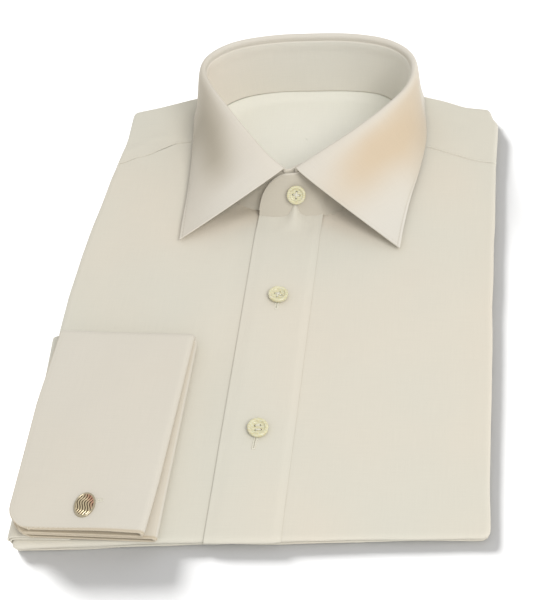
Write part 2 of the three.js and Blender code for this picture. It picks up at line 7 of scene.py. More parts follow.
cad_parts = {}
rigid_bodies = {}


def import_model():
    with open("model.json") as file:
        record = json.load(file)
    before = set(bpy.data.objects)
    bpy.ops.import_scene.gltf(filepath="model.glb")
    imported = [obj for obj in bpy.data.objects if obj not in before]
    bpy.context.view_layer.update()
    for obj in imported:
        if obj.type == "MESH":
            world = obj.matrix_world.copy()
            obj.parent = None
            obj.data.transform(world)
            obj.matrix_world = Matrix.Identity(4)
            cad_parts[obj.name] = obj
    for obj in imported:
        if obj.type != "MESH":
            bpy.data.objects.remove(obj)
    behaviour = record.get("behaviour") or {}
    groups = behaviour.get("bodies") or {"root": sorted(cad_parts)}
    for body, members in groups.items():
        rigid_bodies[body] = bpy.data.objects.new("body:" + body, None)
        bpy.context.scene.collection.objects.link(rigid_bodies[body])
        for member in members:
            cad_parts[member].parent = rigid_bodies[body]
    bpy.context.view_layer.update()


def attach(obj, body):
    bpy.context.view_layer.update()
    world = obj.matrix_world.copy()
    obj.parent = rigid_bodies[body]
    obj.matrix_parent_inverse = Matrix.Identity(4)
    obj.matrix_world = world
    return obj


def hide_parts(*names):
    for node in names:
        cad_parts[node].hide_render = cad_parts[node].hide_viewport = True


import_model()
MM = 0.001

# ------------------------------------------------------------------------------- camera, floor
AZ, EL, ROLL_DEG = math.radians(-6.300275677), math.radians(51.5), math.radians(5.135458674)


def make_camera():
    sa, ca, se, ce = math.sin(AZ), math.cos(AZ), math.sin(EL), math.cos(EL)
    fwd = Vector((sa * ce, ca * ce, -se))
    right = Vector((ca, -sa, 0.0))
    down = fwd.cross(right)
    cr, sr = math.cos(ROLL_DEG), math.sin(ROLL_DEG)
    r = right * cr + down * sr
    d = -right * sr + down * cr
    cam = bpy.data.objects.new("camera", bpy.data.cameras.new("camera"))
    bpy.context.scene.collection.objects.link(cam)
    cam.data.sensor_width = 36.0
    cam.data.lens = 77.129
    cam.data.clip_start, cam.data.clip_end = 0.02, 30.0
    m = Matrix((r, -d, -fwd)).transposed().to_4x4()
    m.translation = Vector((42.241, -481.797, 589.750)) * MM
    cam.matrix_world = m
    bpy.context.scene.camera = cam
    return cam


make_camera()

# ------------------------------------------------------------------------------- named tables
LEAN = math.tan(math.radians(4.8))
OX, OY = -15.34, -177.70
LAYERS = 2.4
PLACKET_HALF, PLACKET_TOP = 19.4, 219.2
REACH = 2.6
CUFF = dict(pair=4.6, ply=1.3, part=0.3, head=121.6, foot=0.6, corner=13.5, lift=3.3, back=3.3)
EDGE = [
    (-117.6, -2.8, 1.2), (-58.0, 0.0, 0), (-19.5, 2.0, 0), (40.0, 3.4, 0), (124.3, 6.0, 3.0),
    (123.6, 90.0, 0), (123.3, 200.0, 0), (124.2, 300.6, 1.5), (121.2, 304.2, 0), (118.8, 313.4, 1.5), (103.0, 315.6, 0),
    (88.0, 322.8, 0), (74.0, 327.8, 0), (46.0, 334.5, 0), (2.0, 338.2, 0), (-44.0, 335.0, 0),
    (-75.5, 327.6, 0), (-97.0, 319.2, 0), (-113.8, 314.6, 1.2), (-113.6, 290.0, 0), (-117.4, 256.0, 0),
    (-119.8, 226.0, 0), (-123.0, 192.0, 0), (-124.0, 160.0, 0), (-123.4, 136.0, 0), (-119.0, 70.0, 0),
]
HEIGHT = np.array([  # v, left, middle, right
    [0, 6.9, 6.3, 5.4], [70, 7.4, 7.2, 6.2], [150, 7.8, 8.0, 7.0], [230, 8.2, 8.6, 7.7],
    [300, 7.9, 8.6, 7.8], [340, 7.2, 7.8, 7.2]], float)
SEAM_L = np.array([[-130, 267.0], [-112.7, 267.3], [-104, 272.6], [-98, 273.8], [-86.8, 281.1], [-80, 285.6], [-50, 286.6]])
SEAM_R = np.array([[50, 283.4], [81.2, 279.1], [91.4, 274.7], [102.7, 270.0], [111.9, 266.4], [130, 263.4]])
COLLAR = np.array([  # bu, bv, fu, fv, fz, eu, ev, ez, side
    [-2.0, 222.6, -5.5, 236.0, 34.0, -64.3, 200.8, 11.2, -1.2],
    [-18.0, 223.9, -17.0, 244.6, 38.0, -64.9, 217.0, 11.6, -1.2],
    [-37.0, 233.6, -30.6, 260.0, 41.8, -65.5, 238.0, 11.8, -0.6],
    [-51.5, 251.5, -45.2, 278.4, 45.4, -67.2, 262.0, 11.8, 0],
    [-59.5, 274.0, -57.6, 294.8, 48.6, -69.8, 286.0, 11.6, 0],
    [-62.5, 297.0, -63.6, 308.5, 50.0, -72.2, 309.0, 11.0, 0],
    [-58.5, 314.5, -60.6, 321.6, 50.0, -69.5, 331.0, 9.6, 0],
    [-43.5, 327.3, -47.0, 332.6, 50.0, -52.5, 347.0, 8.0, 0],
    [-21.0, 332.6, -24.0, 338.4, 50.0, -27.0, 353.4, 7.0, 0],
    [2.5, 333.2, 2.0, 339.8, 50.0, 2.0, 355.4, 6.6, 0],
    [27.0, 332.8, 28.0, 338.8, 50.0, 31.0, 353.2, 7.0, 0],
    [47.5, 329.0, 50.4, 333.0, 50.0, 56.0, 346.0, 8.0, 0],
    [61.0, 317.5, 64.6, 321.6, 50.0, 73.6, 329.5, 9.6, 0],
    [66.3, 299.0, 69.2, 307.0, 50.0, 77.0, 309.0, 11.0, 0],
    [64.5, 276.0, 66.0, 291.0, 48.8, 79.2, 284.0, 11.4, 0],
    [56.0, 253.5, 53.4, 275.2, 46.0, 76.6, 257.0, 11.8, 0],
    [41.0, 234.8, 37.2, 259.8, 43.0, 72.0, 231.5, 11.8, 0.6],
    [22.5, 223.0, 20.4, 247.0, 39.4, 69.3, 211.0, 11.6, 1.2],
    [3.0, 220.4, 3.4, 235.6, 34.6, 67.7, 193.0, 11.2, 1.2]])
UNDERLAP = np.array([[26.5, 227.8, 25.4, 250.8, 40.4, -1.3], [13.0, 224.2, 8.4, 241.4, 36.6, -1.3]])
TONGUE = np.array([[-8.0, 220.1, -7.0, 236.2, 35.2, 1.2], [-18.6, 221.2, -18.0, 238.6, 36.6, 1.2]])
STATIONS = np.vstack([UNDERLAP, COLLAR[:, [0, 1, 2, 3, 4, 8]], TONGUE])
CUFF_SIDE = np.array([[0, -118.4, -48.6, -42.6], [30, -118.9, -46.4, -42.4], [75, -119.4, -44.4, -41.8], [126, -116.8, -42.4, -41.2]])
BUTTONS = [("button_2", 0.0, 158.0, 9.4), ("button_3", -0.2, 67.4, 12.2)]
LINK = dict(u=-81.0, v=14.4, wide=10.6, long=14.4, turn=-12.0)

# Soft creases on the folded body: ends, width, height (minus is a trough), bow
CREASES = [
    (-30, 40, -27, 128, 7.5, -0.55, 2.0), (-25, 120, -31, 205, 9.0, -0.40, -3.0), (-36, 150, -33, 232, 6.0, 0.25, 2.0),
    (-112, 276, -82, 292, 3.0, 0.55, 2.5), (-116, 283, -92, 286, 2.2, -0.45, 0.0), (-106, 268, -92, 262, 2.6, -0.30, 1.0),
    (-86, 302, -66, 320, 5.5, 0.6, 3.0), (-98, 296, -78, 312, 6.0, -0.35, -2.0), (-76, 288, -64, 306, 6.0, -0.75, 2.0),
    (82, 292, 70, 316, 6.0, -0.45, 2.0), (96, 286, 116, 278, 5.0, 0.28, 1.5), (92, 305, 112, 300, 6.0, -0.3, 0.0),
    (-22, 224, -44, 214, 3.4, 0.50, 1.5), (-21, 220, -36, 205, 4.0, -0.35, -1.0), (-22, 228, -40, 228, 3.0, -0.45, 1.0),
    (24, 221, 40, 205, 4.5, -0.40, 1.0), (24, 214, 34, 186, 5.0, 0.28, 1.5), (-90, 215, -66, 160, 12.0, 0.30, 4.0),
    (60, 175, 104, 150, 14.0, 0.28, 6.0), (40, 92, 82, 60, 13.0, -0.28, -6.0), (70, 46, 112, 40, 10.0, 0.26, 3.0),
    (96, 230, 108, 150, 11.0, -0.26, 3.0), (-104, 236, -98, 178, 8.0, -0.28, -3.0), (30, 30, 30, 130, 8.0, -0.22, 2.0),
    (-118, 200, -108, 150, 5.0, 0.24, 1.0), (-60, 140, -58, 190, 12.0, -0.22, 3.0), (114, 120, 118, 60, 5.0, 0.22, 1.0),
]


# ------------------------------------------------------------------------------- interpolation
def ss(t, a=0.0, b=1.0):
    x = np.clip((np.asarray(t, float) - a) / (b - a), 0, 1)
    return x * x * (3 - 2 * x)


def mix(a, b, t):
    return a + (b - a) * t


def place(u, v, z):
    u, v, z = np.broadcast_arrays(np.asarray(u, float), np.asarray(v, float), np.asarray(z, float))
    return np.stack([OX + u + v * LEAN, OY + v, z], -1)


def along(rows, cols, t):
    t = np.atleast_1d(np.asarray(t, float))
    n = len(rows)
    i = np.clip(np.floor(t).astype(int), 0, n - 2)
    f = (t - i)[:, None]
    g = lambda k: rows[np.clip(k, 0, n - 1)][:, cols]
    a, b, c, d = g(i - 1), g(i), g(i + 1), g(i + 2)
    return 0.5 * (2 * b + (c - a) * f + (2 * a - 5 * b + 4 * c - d) * f * f + (3 * b - a - 3 * c + d) * f ** 3)


VV = np.arange(-40.0, 381.0, 2.0)


def smooth_column(k):
    raw = np.interp(VV, HEIGHT[:, 0], HEIGHT[:, k])
    w = np.exp(-0.5 * (np.arange(-12, 13) / 5.0) ** 2)
    w /= w.sum()
    return np.convolve(np.pad(raw, 12, mode="edge"), w, mode="valid")


HL, HM, HR = smooth_column(1), smooth_column(2), smooth_column(3)


def relief(u, v):
    r = 0.16 * np.sin(u / 23.0 + 0.9 + 0.8 * np.sin(v / 61.0)) * np.sin(v / 37.0 + 0.4 + u / 90.0)
    r += 0.10 * np.sin(u / 11.5 - v / 29.0 + 1.7) * np.sin(v / 19.0 + u / 41.0 + 0.3)
    for u0, v0, u1, v1, w, h, bow in CREASES:
        length = math.hypot(u1 - u0, v1 - v0)
        du, dv = (u1 - u0) / length, (v1 - v0) / length
        s = ((u - u0) * du + (v - v0) * dv) / length
        side = -(u - u0) * dv + (v - v0) * du - bow * np.sin(np.clip(s, 0, 1) * math.pi)
        ends = np.exp(-0.5 * (np.clip(-s, 0, None) * length / (w * 1.6)) ** 2) * np.exp(-0.5 * (np.clip(s - 1, 0, None) * length / (w * 1.6)) ** 2)
        taper = 0.55 + 0.45 * np.sin(np.clip(s, 0, 1) * math.pi)
        skewed = np.where(side > 0, side / w, side / (w * 0.72))
        r += h * ends * taper * np.exp(-0.5 * skewed ** 2)
    for _, bu, bv, _ in BUTTONS:
        r -= 0.28 * np.exp(-0.5 * (((u - bu) / 7.0) ** 2 + ((v - bv) / 8.0) ** 2))
    return r


def stack(u, v):
    m = np.interp(v, VV, HM)
    side = np.where(u < 0, np.interp(v, VV, HL), np.interp(v, VV, HR))
    return m + (side - m) * ss(np.abs(u), 10, 118) + relief(u, v)


# ------------------------------------------------------------------------------- folded outline
def outline_loop(count=900):
    n = len(EDGE)
    pts = []
    for i, (u, v, r) in enumerate(EDGE):
        here = np.array([u, v])
        if not r:
            pts.append(here)
            continue
        a = np.array(EDGE[(i - 1) % n][:2]) - here
        b = np.array(EDGE[(i + 1) % n][:2]) - here
        a = a / np.linalg.norm(a) * r
        b = b / np.linalg.norm(b) * r
        for t in np.linspace(0, 1, 9):
            pts.append(here + a * (1 - t) ** 2 + b * t ** 2)
    pts = np.array(pts)
    seg = np.linalg.norm(np.roll(pts, -1, 0) - pts, axis=1)
    s = np.concatenate([[0], np.cumsum(seg)])
    closed = np.vstack([pts, pts[:1]])
    q = np.linspace(0, s[-1], count, endpoint=False)
    loop = np.stack([np.interp(q, s, closed[:, k]) for k in (0, 1)], -1)
    w = np.exp(-0.5 * (np.arange(-5, 6) / 1.3) ** 2)
    w /= w.sum()
    loop = sum(np.roll(loop, k, 0) * w[k + 5] for k in range(-5, 6))
    t = np.roll(loop, -1, 0) - np.roll(loop, 1, 0)
    t /= np.linalg.norm(t, axis=1)[:, None]
    nrm = np.stack([t[:, 1], -t[:, 0]], -1)
    wav = 0.22 * np.sin(q / 17.0 + 0.4) + 0.16 * np.sin(q / 7.3 + 2.0) * np.sin(q / 51.0)
    loop = loop + nrm * wav[:, None]
    return loop, nrm, q, s[-1]


LOOP, LOOP_N, LOOP_S, LOOP_LEN = outline_loop()


def edge_at(q):
    """Distance inside the outline, nearest point and outward direction, for points q."""
    far = np.full(len(q), 1e3)
    coarse = LOOP[::4]
    for k in range(0, len(q), 4000):
        far[k:k + 4000] = np.linalg.norm(q[k:k + 4000, None] - coarse[None], axis=2).min(1)
    near = np.where(far < 13.0)[0]
    d = np.full(len(q), 1e3)
    foot = q.copy()
    out = np.zeros_like(q)
    a = LOOP
    b = np.roll(LOOP, -1, 0)
    ab = b - a
    l2 = (ab ** 2).sum(1)
    nb = np.roll(LOOP_N, -1, 0)
    for k in range(0, len(near), 1500):
        idx = near[k:k + 1500]
        p = q[idx][:, None]
        t = np.clip(((p - a[None]) * ab[None]).sum(2) / l2[None], 0, 1)
        c = a[None] + ab[None] * t[..., None]
        dist = np.linalg.norm(p - c, axis=2)
        j = dist.argmin(1)
        r = np.arange(len(idx))
        tt = t[r, j][:, None]
        nn = LOOP_N[j] * (1 - tt) + nb[j] * tt
        nn /= np.linalg.norm(nn, axis=1)[:, None]
        cc = c[r, j]
        d[idx] = -((q[idx] - cc) * nn).sum(1)
        foot[idx] = cc
        out[idx] = nn
    return d, foot, out


def skin(U, V, off=0.0, foot=LAYERS, curl=2.55, extra=None):
    """Panel points on the folded stack: flat on top, rolled over the edge of the outline."""
    U, V = np.broadcast_arrays(np.asarray(U, float), np.asarray(V, float))
    shape = U.shape
    q = np.stack([U.ravel(), V.ravel()], -1)
    off = np.broadcast_to(np.asarray(off, float), shape).ravel()
    d, Q, n = edge_at(q)
    inside = d > REACH
    S = np.where(inside[:, None], q, Q - n * REACH)
    h = stack(S[:, 0], S[:, 1]) + off
    if extra is not None:
        h = h + extra(S[:, 0], S[:, 1])
    a = np.maximum(REACH - d, 0)
    rz, zc = (h - foot) / 2, (h + foot) / 2
    rx = REACH + off
    phi = np.minimum(a / ((rx + rz) / 2), curl)
    P = S + n * (rx * np.sin(phi))[:, None]
    z = zc + rz * np.cos(phi)
    return place(P[:, 0], P[:, 1], z).reshape(shape + (3,))


# ------------------------------------------------------------------------------- mesh making
def normals_of(G, wrap=False):
    if wrap:
        dc = np.roll(G, -1, 1) - np.roll(G, 1, 1)
    else:
        dc = np.gradient(G, axis=1)
    dr = np.gradient(G, axis=0)
    n = np.cross(dr, dc)
    return n / np.maximum(np.linalg.norm(n, axis=-1, keepdims=True), 1e-9)


def sheet_parts(F, B, UV, rim=0.45, wrap=False):
    """Closed thin sheet from a face grid and a back grid, with a rounded edge."""
    R, C = F.shape[:2]
    pts = [F.reshape(-1, 3), B.reshape(-1, 3)]
    uvs = [UV.reshape(-1, 2), UV.reshape(-1, 2)]
    n = normals_of(F, wrap)
    flip = float((n * (F - B)).sum()) < 0
    idx = np.arange(R * C).reshape(R, C)
    jn = np.roll(idx, -1, 1) if wrap else None
    if wrap:
        a, b, c, d = idx[:-1], idx[1:], jn[1:], jn[:-1]
    else:
        a, b, c, d = idx[:-1, :-1], idx[1:, :-1], idx[1:, 1:], idx[:-1, 1:]
    quads = np.stack([a, b, c, d], -1).reshape(-1, 4)
    back = quads[:, ::-1] + R * C
    faces = [quads, back]
    if wrap:
        loops = [(idx[0], F[0] - F[1]), (idx[-1][::-1], (F[-1] - F[-2])[::-1])]
    else:
        ring = np.concatenate([idx[0, :-1], idx[:-1, -1], idx[-1, :0:-1], idx[:0:-1, 0]])
        out = np.zeros((R, C, 3))
        unit = lambda x: x / np.maximum(np.linalg.norm(x, axis=-1, keepdims=True), 1e-9)
        out[0] += unit(F[0] - F[1])
        out[-1] += unit(F[-1] - F[-2])
        out[:, 0] += unit(F[:, 0] - F[:, 1])
        out[:, -1] += unit(F[:, -1] - F[:, -2])
        loops = [(ring, out.reshape(-1, 3)[ring])]
    base = 2 * R * C
    for ring, out in loops:
        out = out / np.maximum(np.linalg.norm(out, axis=1, keepdims=True), 1e-9)
        f = F.reshape(-1, 3)[ring]
        bk = B.reshape(-1, 3)[ring]
        t = np.linalg.norm(f - bk, axis=1, keepdims=True)
        k = len(ring)
        m0 = (f * 0.82 + bk * 0.18) + out * t * rim * 0.75
        m1 = (f + bk) / 2 + out * t * rim
        m2 = (f * 0.18 + bk * 0.82) + out * t * rim * 0.75
        pts += [m0, m1, m2]
        uvs += [UV.reshape(-1, 2)[ring]] * 3
        seq = [ring, base + np.arange(k), base + k + np.arange(k), base + 2 * k + np.arange(k), ring + R * C]
        for s in range(4):
            p, q = seq[s], seq[s + 1]
            faces.append(np.stack([p, np.roll(p, -1), np.roll(q, -1), q], -1)[:, ::-1] if False else np.stack([p, np.roll(p, -1), np.roll(q, -1), q], -1))
        base += 3 * k
    faces[2:] = [f[:, ::-1] for f in faces[2:]]
    faces = np.concatenate(faces)
    # the rim's own turning follows the face's
    if flip:
        faces = faces[:, ::-1]
    return np.concatenate(pts), faces, np.concatenate(uvs)


def join_parts(parts):
    P, F, U = [], [], []
    base = 0
    for p, f, u in parts:
        P.append(p)
        F.append(f + base)
        U.append(u)
        base += len(p)
    width = max(f.shape[1] for f in F)
    if any(f.shape[1] != width for f in F):
        F = [f if f.shape[1] == width else np.hstack([f, f[:, -1:]]) for f in F]
    return np.concatenate(P), np.concatenate(F), np.concatenate(U)


def make_object(name, pts, faces, uv, material, nodes=(), attrs=None, sharp=None, fans=()):
    me = bpy.data.meshes.new(name)
    polys = [tuple(int(i) for i in dict.fromkeys(f)) for f in faces.tolist()] + [tuple(f) for f in fans]
    polys = [p for p in polys if len(p) >= 3]
    me.from_pydata((pts * MM).tolist(), [], polys)
    me.validate()
    me.update()
    if uv is not None:
        layer = me.uv_layers.new(name="UVMap")
        vi = np.zeros(len(me.loops), np.int32)
        me.loops.foreach_get("vertex_index", vi)
        layer.data.foreach_set("uv", (uv[vi] * MM).astype(np.float32).ravel())
    for key, val in (attrs or {}).items():
        at = me.attributes.new(key, "FLOAT", "POINT")
        at.data.foreach_set("value", np.asarray(val, np.float32))
    me.polygons.foreach_set("use_smooth", np.ones(len(me.polygons), bool))
    if sharp is not None:
        me.set_sharp_from_angle(angle=math.radians(sharp))
    ob = bpy.data.objects.new(name, me)
    bpy.context.scene.collection.objects.link(ob)
    me.materials.append(material)
    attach(ob, "root")
    if nodes:
        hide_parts(*nodes)
    return ob


def padded(values, count):
    """A value for every point of a sheet made from a grid: face, back, then nothing on the rim."""
    v = np.asarray(values, float).ravel()
    return np.concatenate([v, v, np.zeros(count - 2 * v.size)])


def band(u, v, pts, width, fade=2.0):
    """Weight near a polyline of (u, v, strength) points."""
    best = np.full(u.shape, 1e6)
    gain = np.zeros(u.shape)
    for (a, b, g), (c, d, k) in zip(pts[:-1], pts[1:]):
        l2 = (c - a) ** 2 + (d - b) ** 2
        t = np.clip(((u - a) * (c - a) + (v - b) * (d - b)) / l2, 0, 1)
        dist = np.hypot(u - a - t * (c - a), v - b - t * (d - b))
        near = dist < best
        best = np.where(near, dist, best)
        gain = np.where(near, mix(g, k, t), gain)
    return gain * np.exp(-0.5 * (best / width) ** fade)


def fix_normals(ob):
    import bmesh
    bm = bmesh.new()
    bm.from_mesh(ob.data)
    bmesh.ops.recalc_face_normals(bm, faces=bm.faces)
    bm.to_mesh(ob.data)
    bm.free()
    ob.data.update()


def ladder(length, first, step, grow=1.25):
    """Distances from an edge: short steps at first, then up to a full step."""
    out = [0.0]
    s = first
    while out[-1] < length - step * 0.6:
        out.append(out[-1] + s)
        s = min(s * grow, step)
    a = np.array(out)
    return a * (length / a[-1])


def both_ends(length, first, step, grow=1.3):
    half = ladder(length / 2, first, step, grow)
    return np.concatenate([half, (length - half[::-1])[1:]])


# ------------------------------------------------------------------------------- materials
def node(nt, kind, **kw):
    n = nt.nodes.new(kind)
    for k, v in kw.items():
        setattr(n, k, v)
    return n


class Mat:
    def __init__(self, name):
        self.m = bpy.data.materials.new(name)
        self.m.use_nodes = True
        self.nt = self.m.node_tree
        self.nt.nodes.clear()
        self.out = node(self.nt, "ShaderNodeOutputMaterial")
        self.bsdf = node(self.nt, "ShaderNodeBsdfPrincipled")
        self.link(self.bsdf.outputs[0], self.out.inputs[0])

    def link(self, a, b):
        self.nt.links.new(a, b)

    def put(self, sock, val):
        if isinstance(val, (int, float)):
            sock.default_value = val
        elif isinstance(val, (tuple, list)):
            sock.default_value = val
        else:
            self.link(val, sock)

    def math(self, op, a, b=0.0, c=None, clamp=False):
        n = node(self.nt, "ShaderNodeMath", operation=op, use_clamp=clamp)
        self.put(n.inputs[0], a)
        self.put(n.inputs[1], b)
        if c is not None:
            self.put(n.inputs[2], c)
        return n.outputs[0]

    def noise(self, vec, scale, detail=3.0, rough=0.5, distortion=0.0):
        n = node(self.nt, "ShaderNodeTexNoise")
        self.put(n.inputs["Vector"], vec)
        n.inputs["Scale"].default_value = scale
        n.inputs["Detail"].default_value = detail
        n.inputs["Roughness"].default_value = rough
        n.inputs["Distortion"].default_value = distortion
        return n.outputs["Fac"]

    def scaled(self, vec, xyz):
        n = node(self.nt, "ShaderNodeVectorMath", operation="MULTIPLY")
        self.put(n.inputs[0], vec)
        n.inputs[1].default_value = xyz
        return n.outputs[0]

    def ramp(self, fac, stops):
        n = node(self.nt, "ShaderNodeValToRGB")
        self.put(n.inputs[0], fac)
        e = n.color_ramp.elements
        while len(e) < len(stops):
            e.new(0.5)
        for k, (pos, col) in enumerate(stops):
            e[k].position = pos
            e[k].color = (*col, 1) if len(col) == 3 else col
        return n.outputs[0]

    def mixc(self, fac, a, b, blend="MIX"):
        n = node(self.nt, "ShaderNodeMix", data_type="RGBA", blend_type=blend)
        self.put(n.inputs[0], fac)
        for i, v in ((6, a), (7, b)):
            if isinstance(v, (tuple, list)):
                n.inputs[i].default_value = (*v, 1) if len(v) == 3 else v
            else:
                self.link(v, n.inputs[i])
        return n.outputs[2]

    def bump(self, height, strength, distance, normal=None):
        n = node(self.nt, "ShaderNodeBump")
        n.inputs["Strength"].default_value = strength
        n.inputs["Distance"].default_value = distance
        self.put(n.inputs["Height"], height)
        if normal is not None:
            self.link(normal, n.inputs["Normal"])
        return n.outputs[0]


def poplin(name, cool, warm, pitch=0.00032, lean=0.4, swing=1.5, weave=0.22):
    """Fine plain weave in near-white cotton: over-and-under bump, slubs, a faint warm and cool drift, with painted
    shade: the low parts of the weave a little darker, and darkening and a warm tint from mesh attributes, which the
    pieces use for painted shade.
    """
    m = Mat(name)
    tc = node(m.nt, "ShaderNodeTexCoord")
    uv = tc.outputs["UV"]
    k = math.pi / pitch
    sep = node(m.nt, "ShaderNodeSeparateXYZ")
    m.link(uv, sep.inputs[0])
    # a slow wander of the yarns keeps the grid from looking ruled
    wander = m.noise(m.scaled(uv, (1, 1, 1)), 90.0, 2.0)
    du = m.math("MULTIPLY_ADD", wander, 0.0009, sep.outputs[0])
    dv = m.math("MULTIPLY_ADD", wander, 0.0011, sep.outputs[1])
    su = m.math("SINE", m.math("MULTIPLY", du, k))
    sv = m.math("SINE", m.math("MULTIPLY", dv, k))
    au, av = m.math("ABSOLUTE", su), m.math("ABSOLUTE", sv)
    over = m.math("GREATER_THAN", m.math("MULTIPLY", su, sv), 0.0)
    ha = m.math("MULTIPLY", au, m.math("POWER", av, 0.4))
    hb = m.math("MULTIPLY", m.math("POWER", au, 0.4), av)
    height = m.math("ADD", m.math("MULTIPLY", over, ha), m.math("MULTIPLY", m.math("SUBTRACT", 1.0, over), hb))
    slub_u = m.noise(m.scaled(uv, (2600, 55, 1)), 1.0, 2.0)
    slub_v = m.noise(m.scaled(uv, (60, 2400, 1)), 1.0, 2.0)
    slub = m.math("ADD", slub_u, slub_v)
    drift = m.noise(tc.outputs["Object"], 11.0, 2.0, 0.45)
    # the warm attribute adds a warm tint; on the fronts, collar fall and cuff it carries painted warm shade
    att = node(m.nt, "ShaderNodeAttribute", attribute_name="warm")
    tone = m.math("ADD", m.math("MULTIPLY_ADD", m.math("SUBTRACT", drift, 0.5), swing, lean), att.outputs["Fac"], clamp=True)
    base = m.mixc(tone, cool, warm)
    # painted shade: the low parts of the weave are a little darker
    shade = m.math("MULTIPLY_ADD", height, 0.045, 0.955)
    shade = m.math("MULTIPLY", shade, m.math("MULTIPLY_ADD", m.math("SUBTRACT", slub, 1.0), 0.055, 1.0))
    # painted shade: a mesh attribute darkens the colour, taking out more blue than red
    painted_shade = node(m.nt, "ShaderNodeAttribute", attribute_name="painted_shade")
    shade = m.math("MULTIPLY", shade, m.math("SUBTRACT", 1.0, painted_shade.outputs["Fac"]))
    grey = node(m.nt, "ShaderNodeCombineXYZ")
    for i, extra in enumerate((0.0, 0.12, 0.36)):
        m.link(m.math("MULTIPLY", shade, m.math("SUBTRACT", 1.0, m.math("MULTIPLY", painted_shade.outputs["Fac"], extra))), grey.inputs[i])
    col = m.mixc(1.0, base, grey.outputs[0], "MULTIPLY")
    m.link(col, m.bsdf.inputs["Base Color"])
    rough = m.math("MULTIPLY_ADD", m.math("SUBTRACT", slub, 1.0), 0.12, 0.72)
    m.link(rough, m.bsdf.inputs["Roughness"])
    fine = m.bump(m.math("MULTIPLY_ADD", slub, 0.35, height), weave, 0.00009)
    soft = m.bump(m.noise(tc.outputs["Object"], 160.0, 3.0, 0.55), 0.10, 0.0004, fine)
    m.link(soft, m.bsdf.inputs["Normal"])
    b = m.bsdf.inputs
    b["Specular IOR Level"].default_value = 0.28
    b["Sheen Weight"].default_value = 0.16
    b["Sheen Roughness"].default_value = 0.42
    b["Sheen Tint"].default_value = (1.0, 0.97, 0.92, 1)
    return m.m


COOL, WARM = (0.640, 0.625, 0.545), (0.690, 0.632, 0.535)
MAT_BODY = poplin("poplin_body", COOL, WARM)
# the collar's peach warm end carries the painted warm shade band on the leaf
MAT_COLLAR = poplin("poplin_collar", (0.665, 0.635, 0.570), (0.690, 0.570, 0.425), lean=0.12, swing=0.5, weave=0.2)
# painted light: lighter copies of the cloth for the collar stand and the inside of the back, inside the neck
MAT_STAND_PAINTED_LIGHT = poplin("poplin_stand_painted_light", (0.755, 0.738, 0.670), (0.775, 0.705, 0.615), lean=0.3, swing=0.6, weave=0.2)
MAT_CUFF = poplin("poplin_cuff", (0.632, 0.600, 0.530), (0.665, 0.590, 0.470), lean=0.15, swing=0.6, weave=0.2)
MAT_INSIDE_PAINTED_LIGHT = poplin("poplin_inside_painted_light", (0.800, 0.798, 0.722), (0.812, 0.772, 0.690), lean=0.15, swing=0.7)


def thread_material(name, colour):
    m = Mat(name)
    tc = node(m.nt, "ShaderNodeTexCoord")
    w = node(m.nt, "ShaderNodeTexWave", wave_type="BANDS", bands_direction="DIAGONAL")
    m.link(tc.outputs["Object"], w.inputs["Vector"])
    w.inputs["Scale"].default_value = 2600.0
    w.inputs["Distortion"].default_value = 1.5
    n = m.noise(tc.outputs["Object"], 900.0, 2.0)
    # painted shade: the thread is darker in the grooves of its twist, where the bump is low
    dark = tuple(c * 0.86 for c in colour)
    m.link(m.mixc(m.math("MULTIPLY", w.outputs["Fac"], n), dark, colour), m.bsdf.inputs["Base Color"])
    m.link(m.bump(w.outputs["Fac"], 0.3, 0.00005), m.bsdf.inputs["Normal"])
    m.link(m.math("MULTIPLY_ADD", n, 0.2, 0.45), m.bsdf.inputs["Roughness"])
    m.bsdf.inputs["Sheen Weight"].default_value = 0.2
    return m.m


MAT_THREAD = thread_material("thread_ivory", (0.70, 0.665, 0.575))
MAT_THREAD_PALE = thread_material("thread_pale", (0.80, 0.77, 0.66))
# a dark thread colour used as painted shadow in the buttonhole slits
MAT_SLIT_PAINTED_SHADOW = thread_material("slit_painted_shadow", (0.40, 0.37, 0.29))


def button_material():
    m = Mat("button_resin")
    tc = node(m.nt, "ShaderNodeTexCoord")
    obj = tc.outputs["Object"]
    w = node(m.nt, "ShaderNodeTexWave", wave_type="RINGS", rings_direction="SPHERICAL", wave_profile="SIN")
    m.link(m.scaled(obj, (1, 0.75, 1.4)), w.inputs["Vector"])
    w.inputs["Scale"].default_value = 260.0
    w.inputs["Distortion"].default_value = 5.0
    w.inputs["Detail"].default_value = 2.0
    n = m.noise(obj, 240.0, 3.0, 0.6, 0.6)
    col = m.ramp(m.math("ADD", m.math("MULTIPLY", w.outputs["Fac"], 0.35), m.math("MULTIPLY", n, 0.65)),
                 [(0.2, (0.585, 0.545, 0.340)), (0.5, (0.655, 0.62, 0.415)), (0.8, (0.71, 0.685, 0.505))])
    m.link(col, m.bsdf.inputs["Base Color"])
    m.link(m.math("MULTIPLY_ADD", n, 0.16, 0.22), m.bsdf.inputs["Roughness"])
    m.link(m.bump(n, 0.06, 0.0002), m.bsdf.inputs["Normal"])
    b = m.bsdf.inputs
    b["Subsurface Weight"].default_value = 0.25
    b["Subsurface Radius"].default_value = (0.0022, 0.0018, 0.0010)
    b["Subsurface Scale"].default_value = 0.6
    b["Specular IOR Level"].default_value = 0.5
    b["Coat Weight"].default_value = 0.35
    b["Coat Roughness"].default_value = 0.12
    return m.m


MAT_BUTTON = button_material()


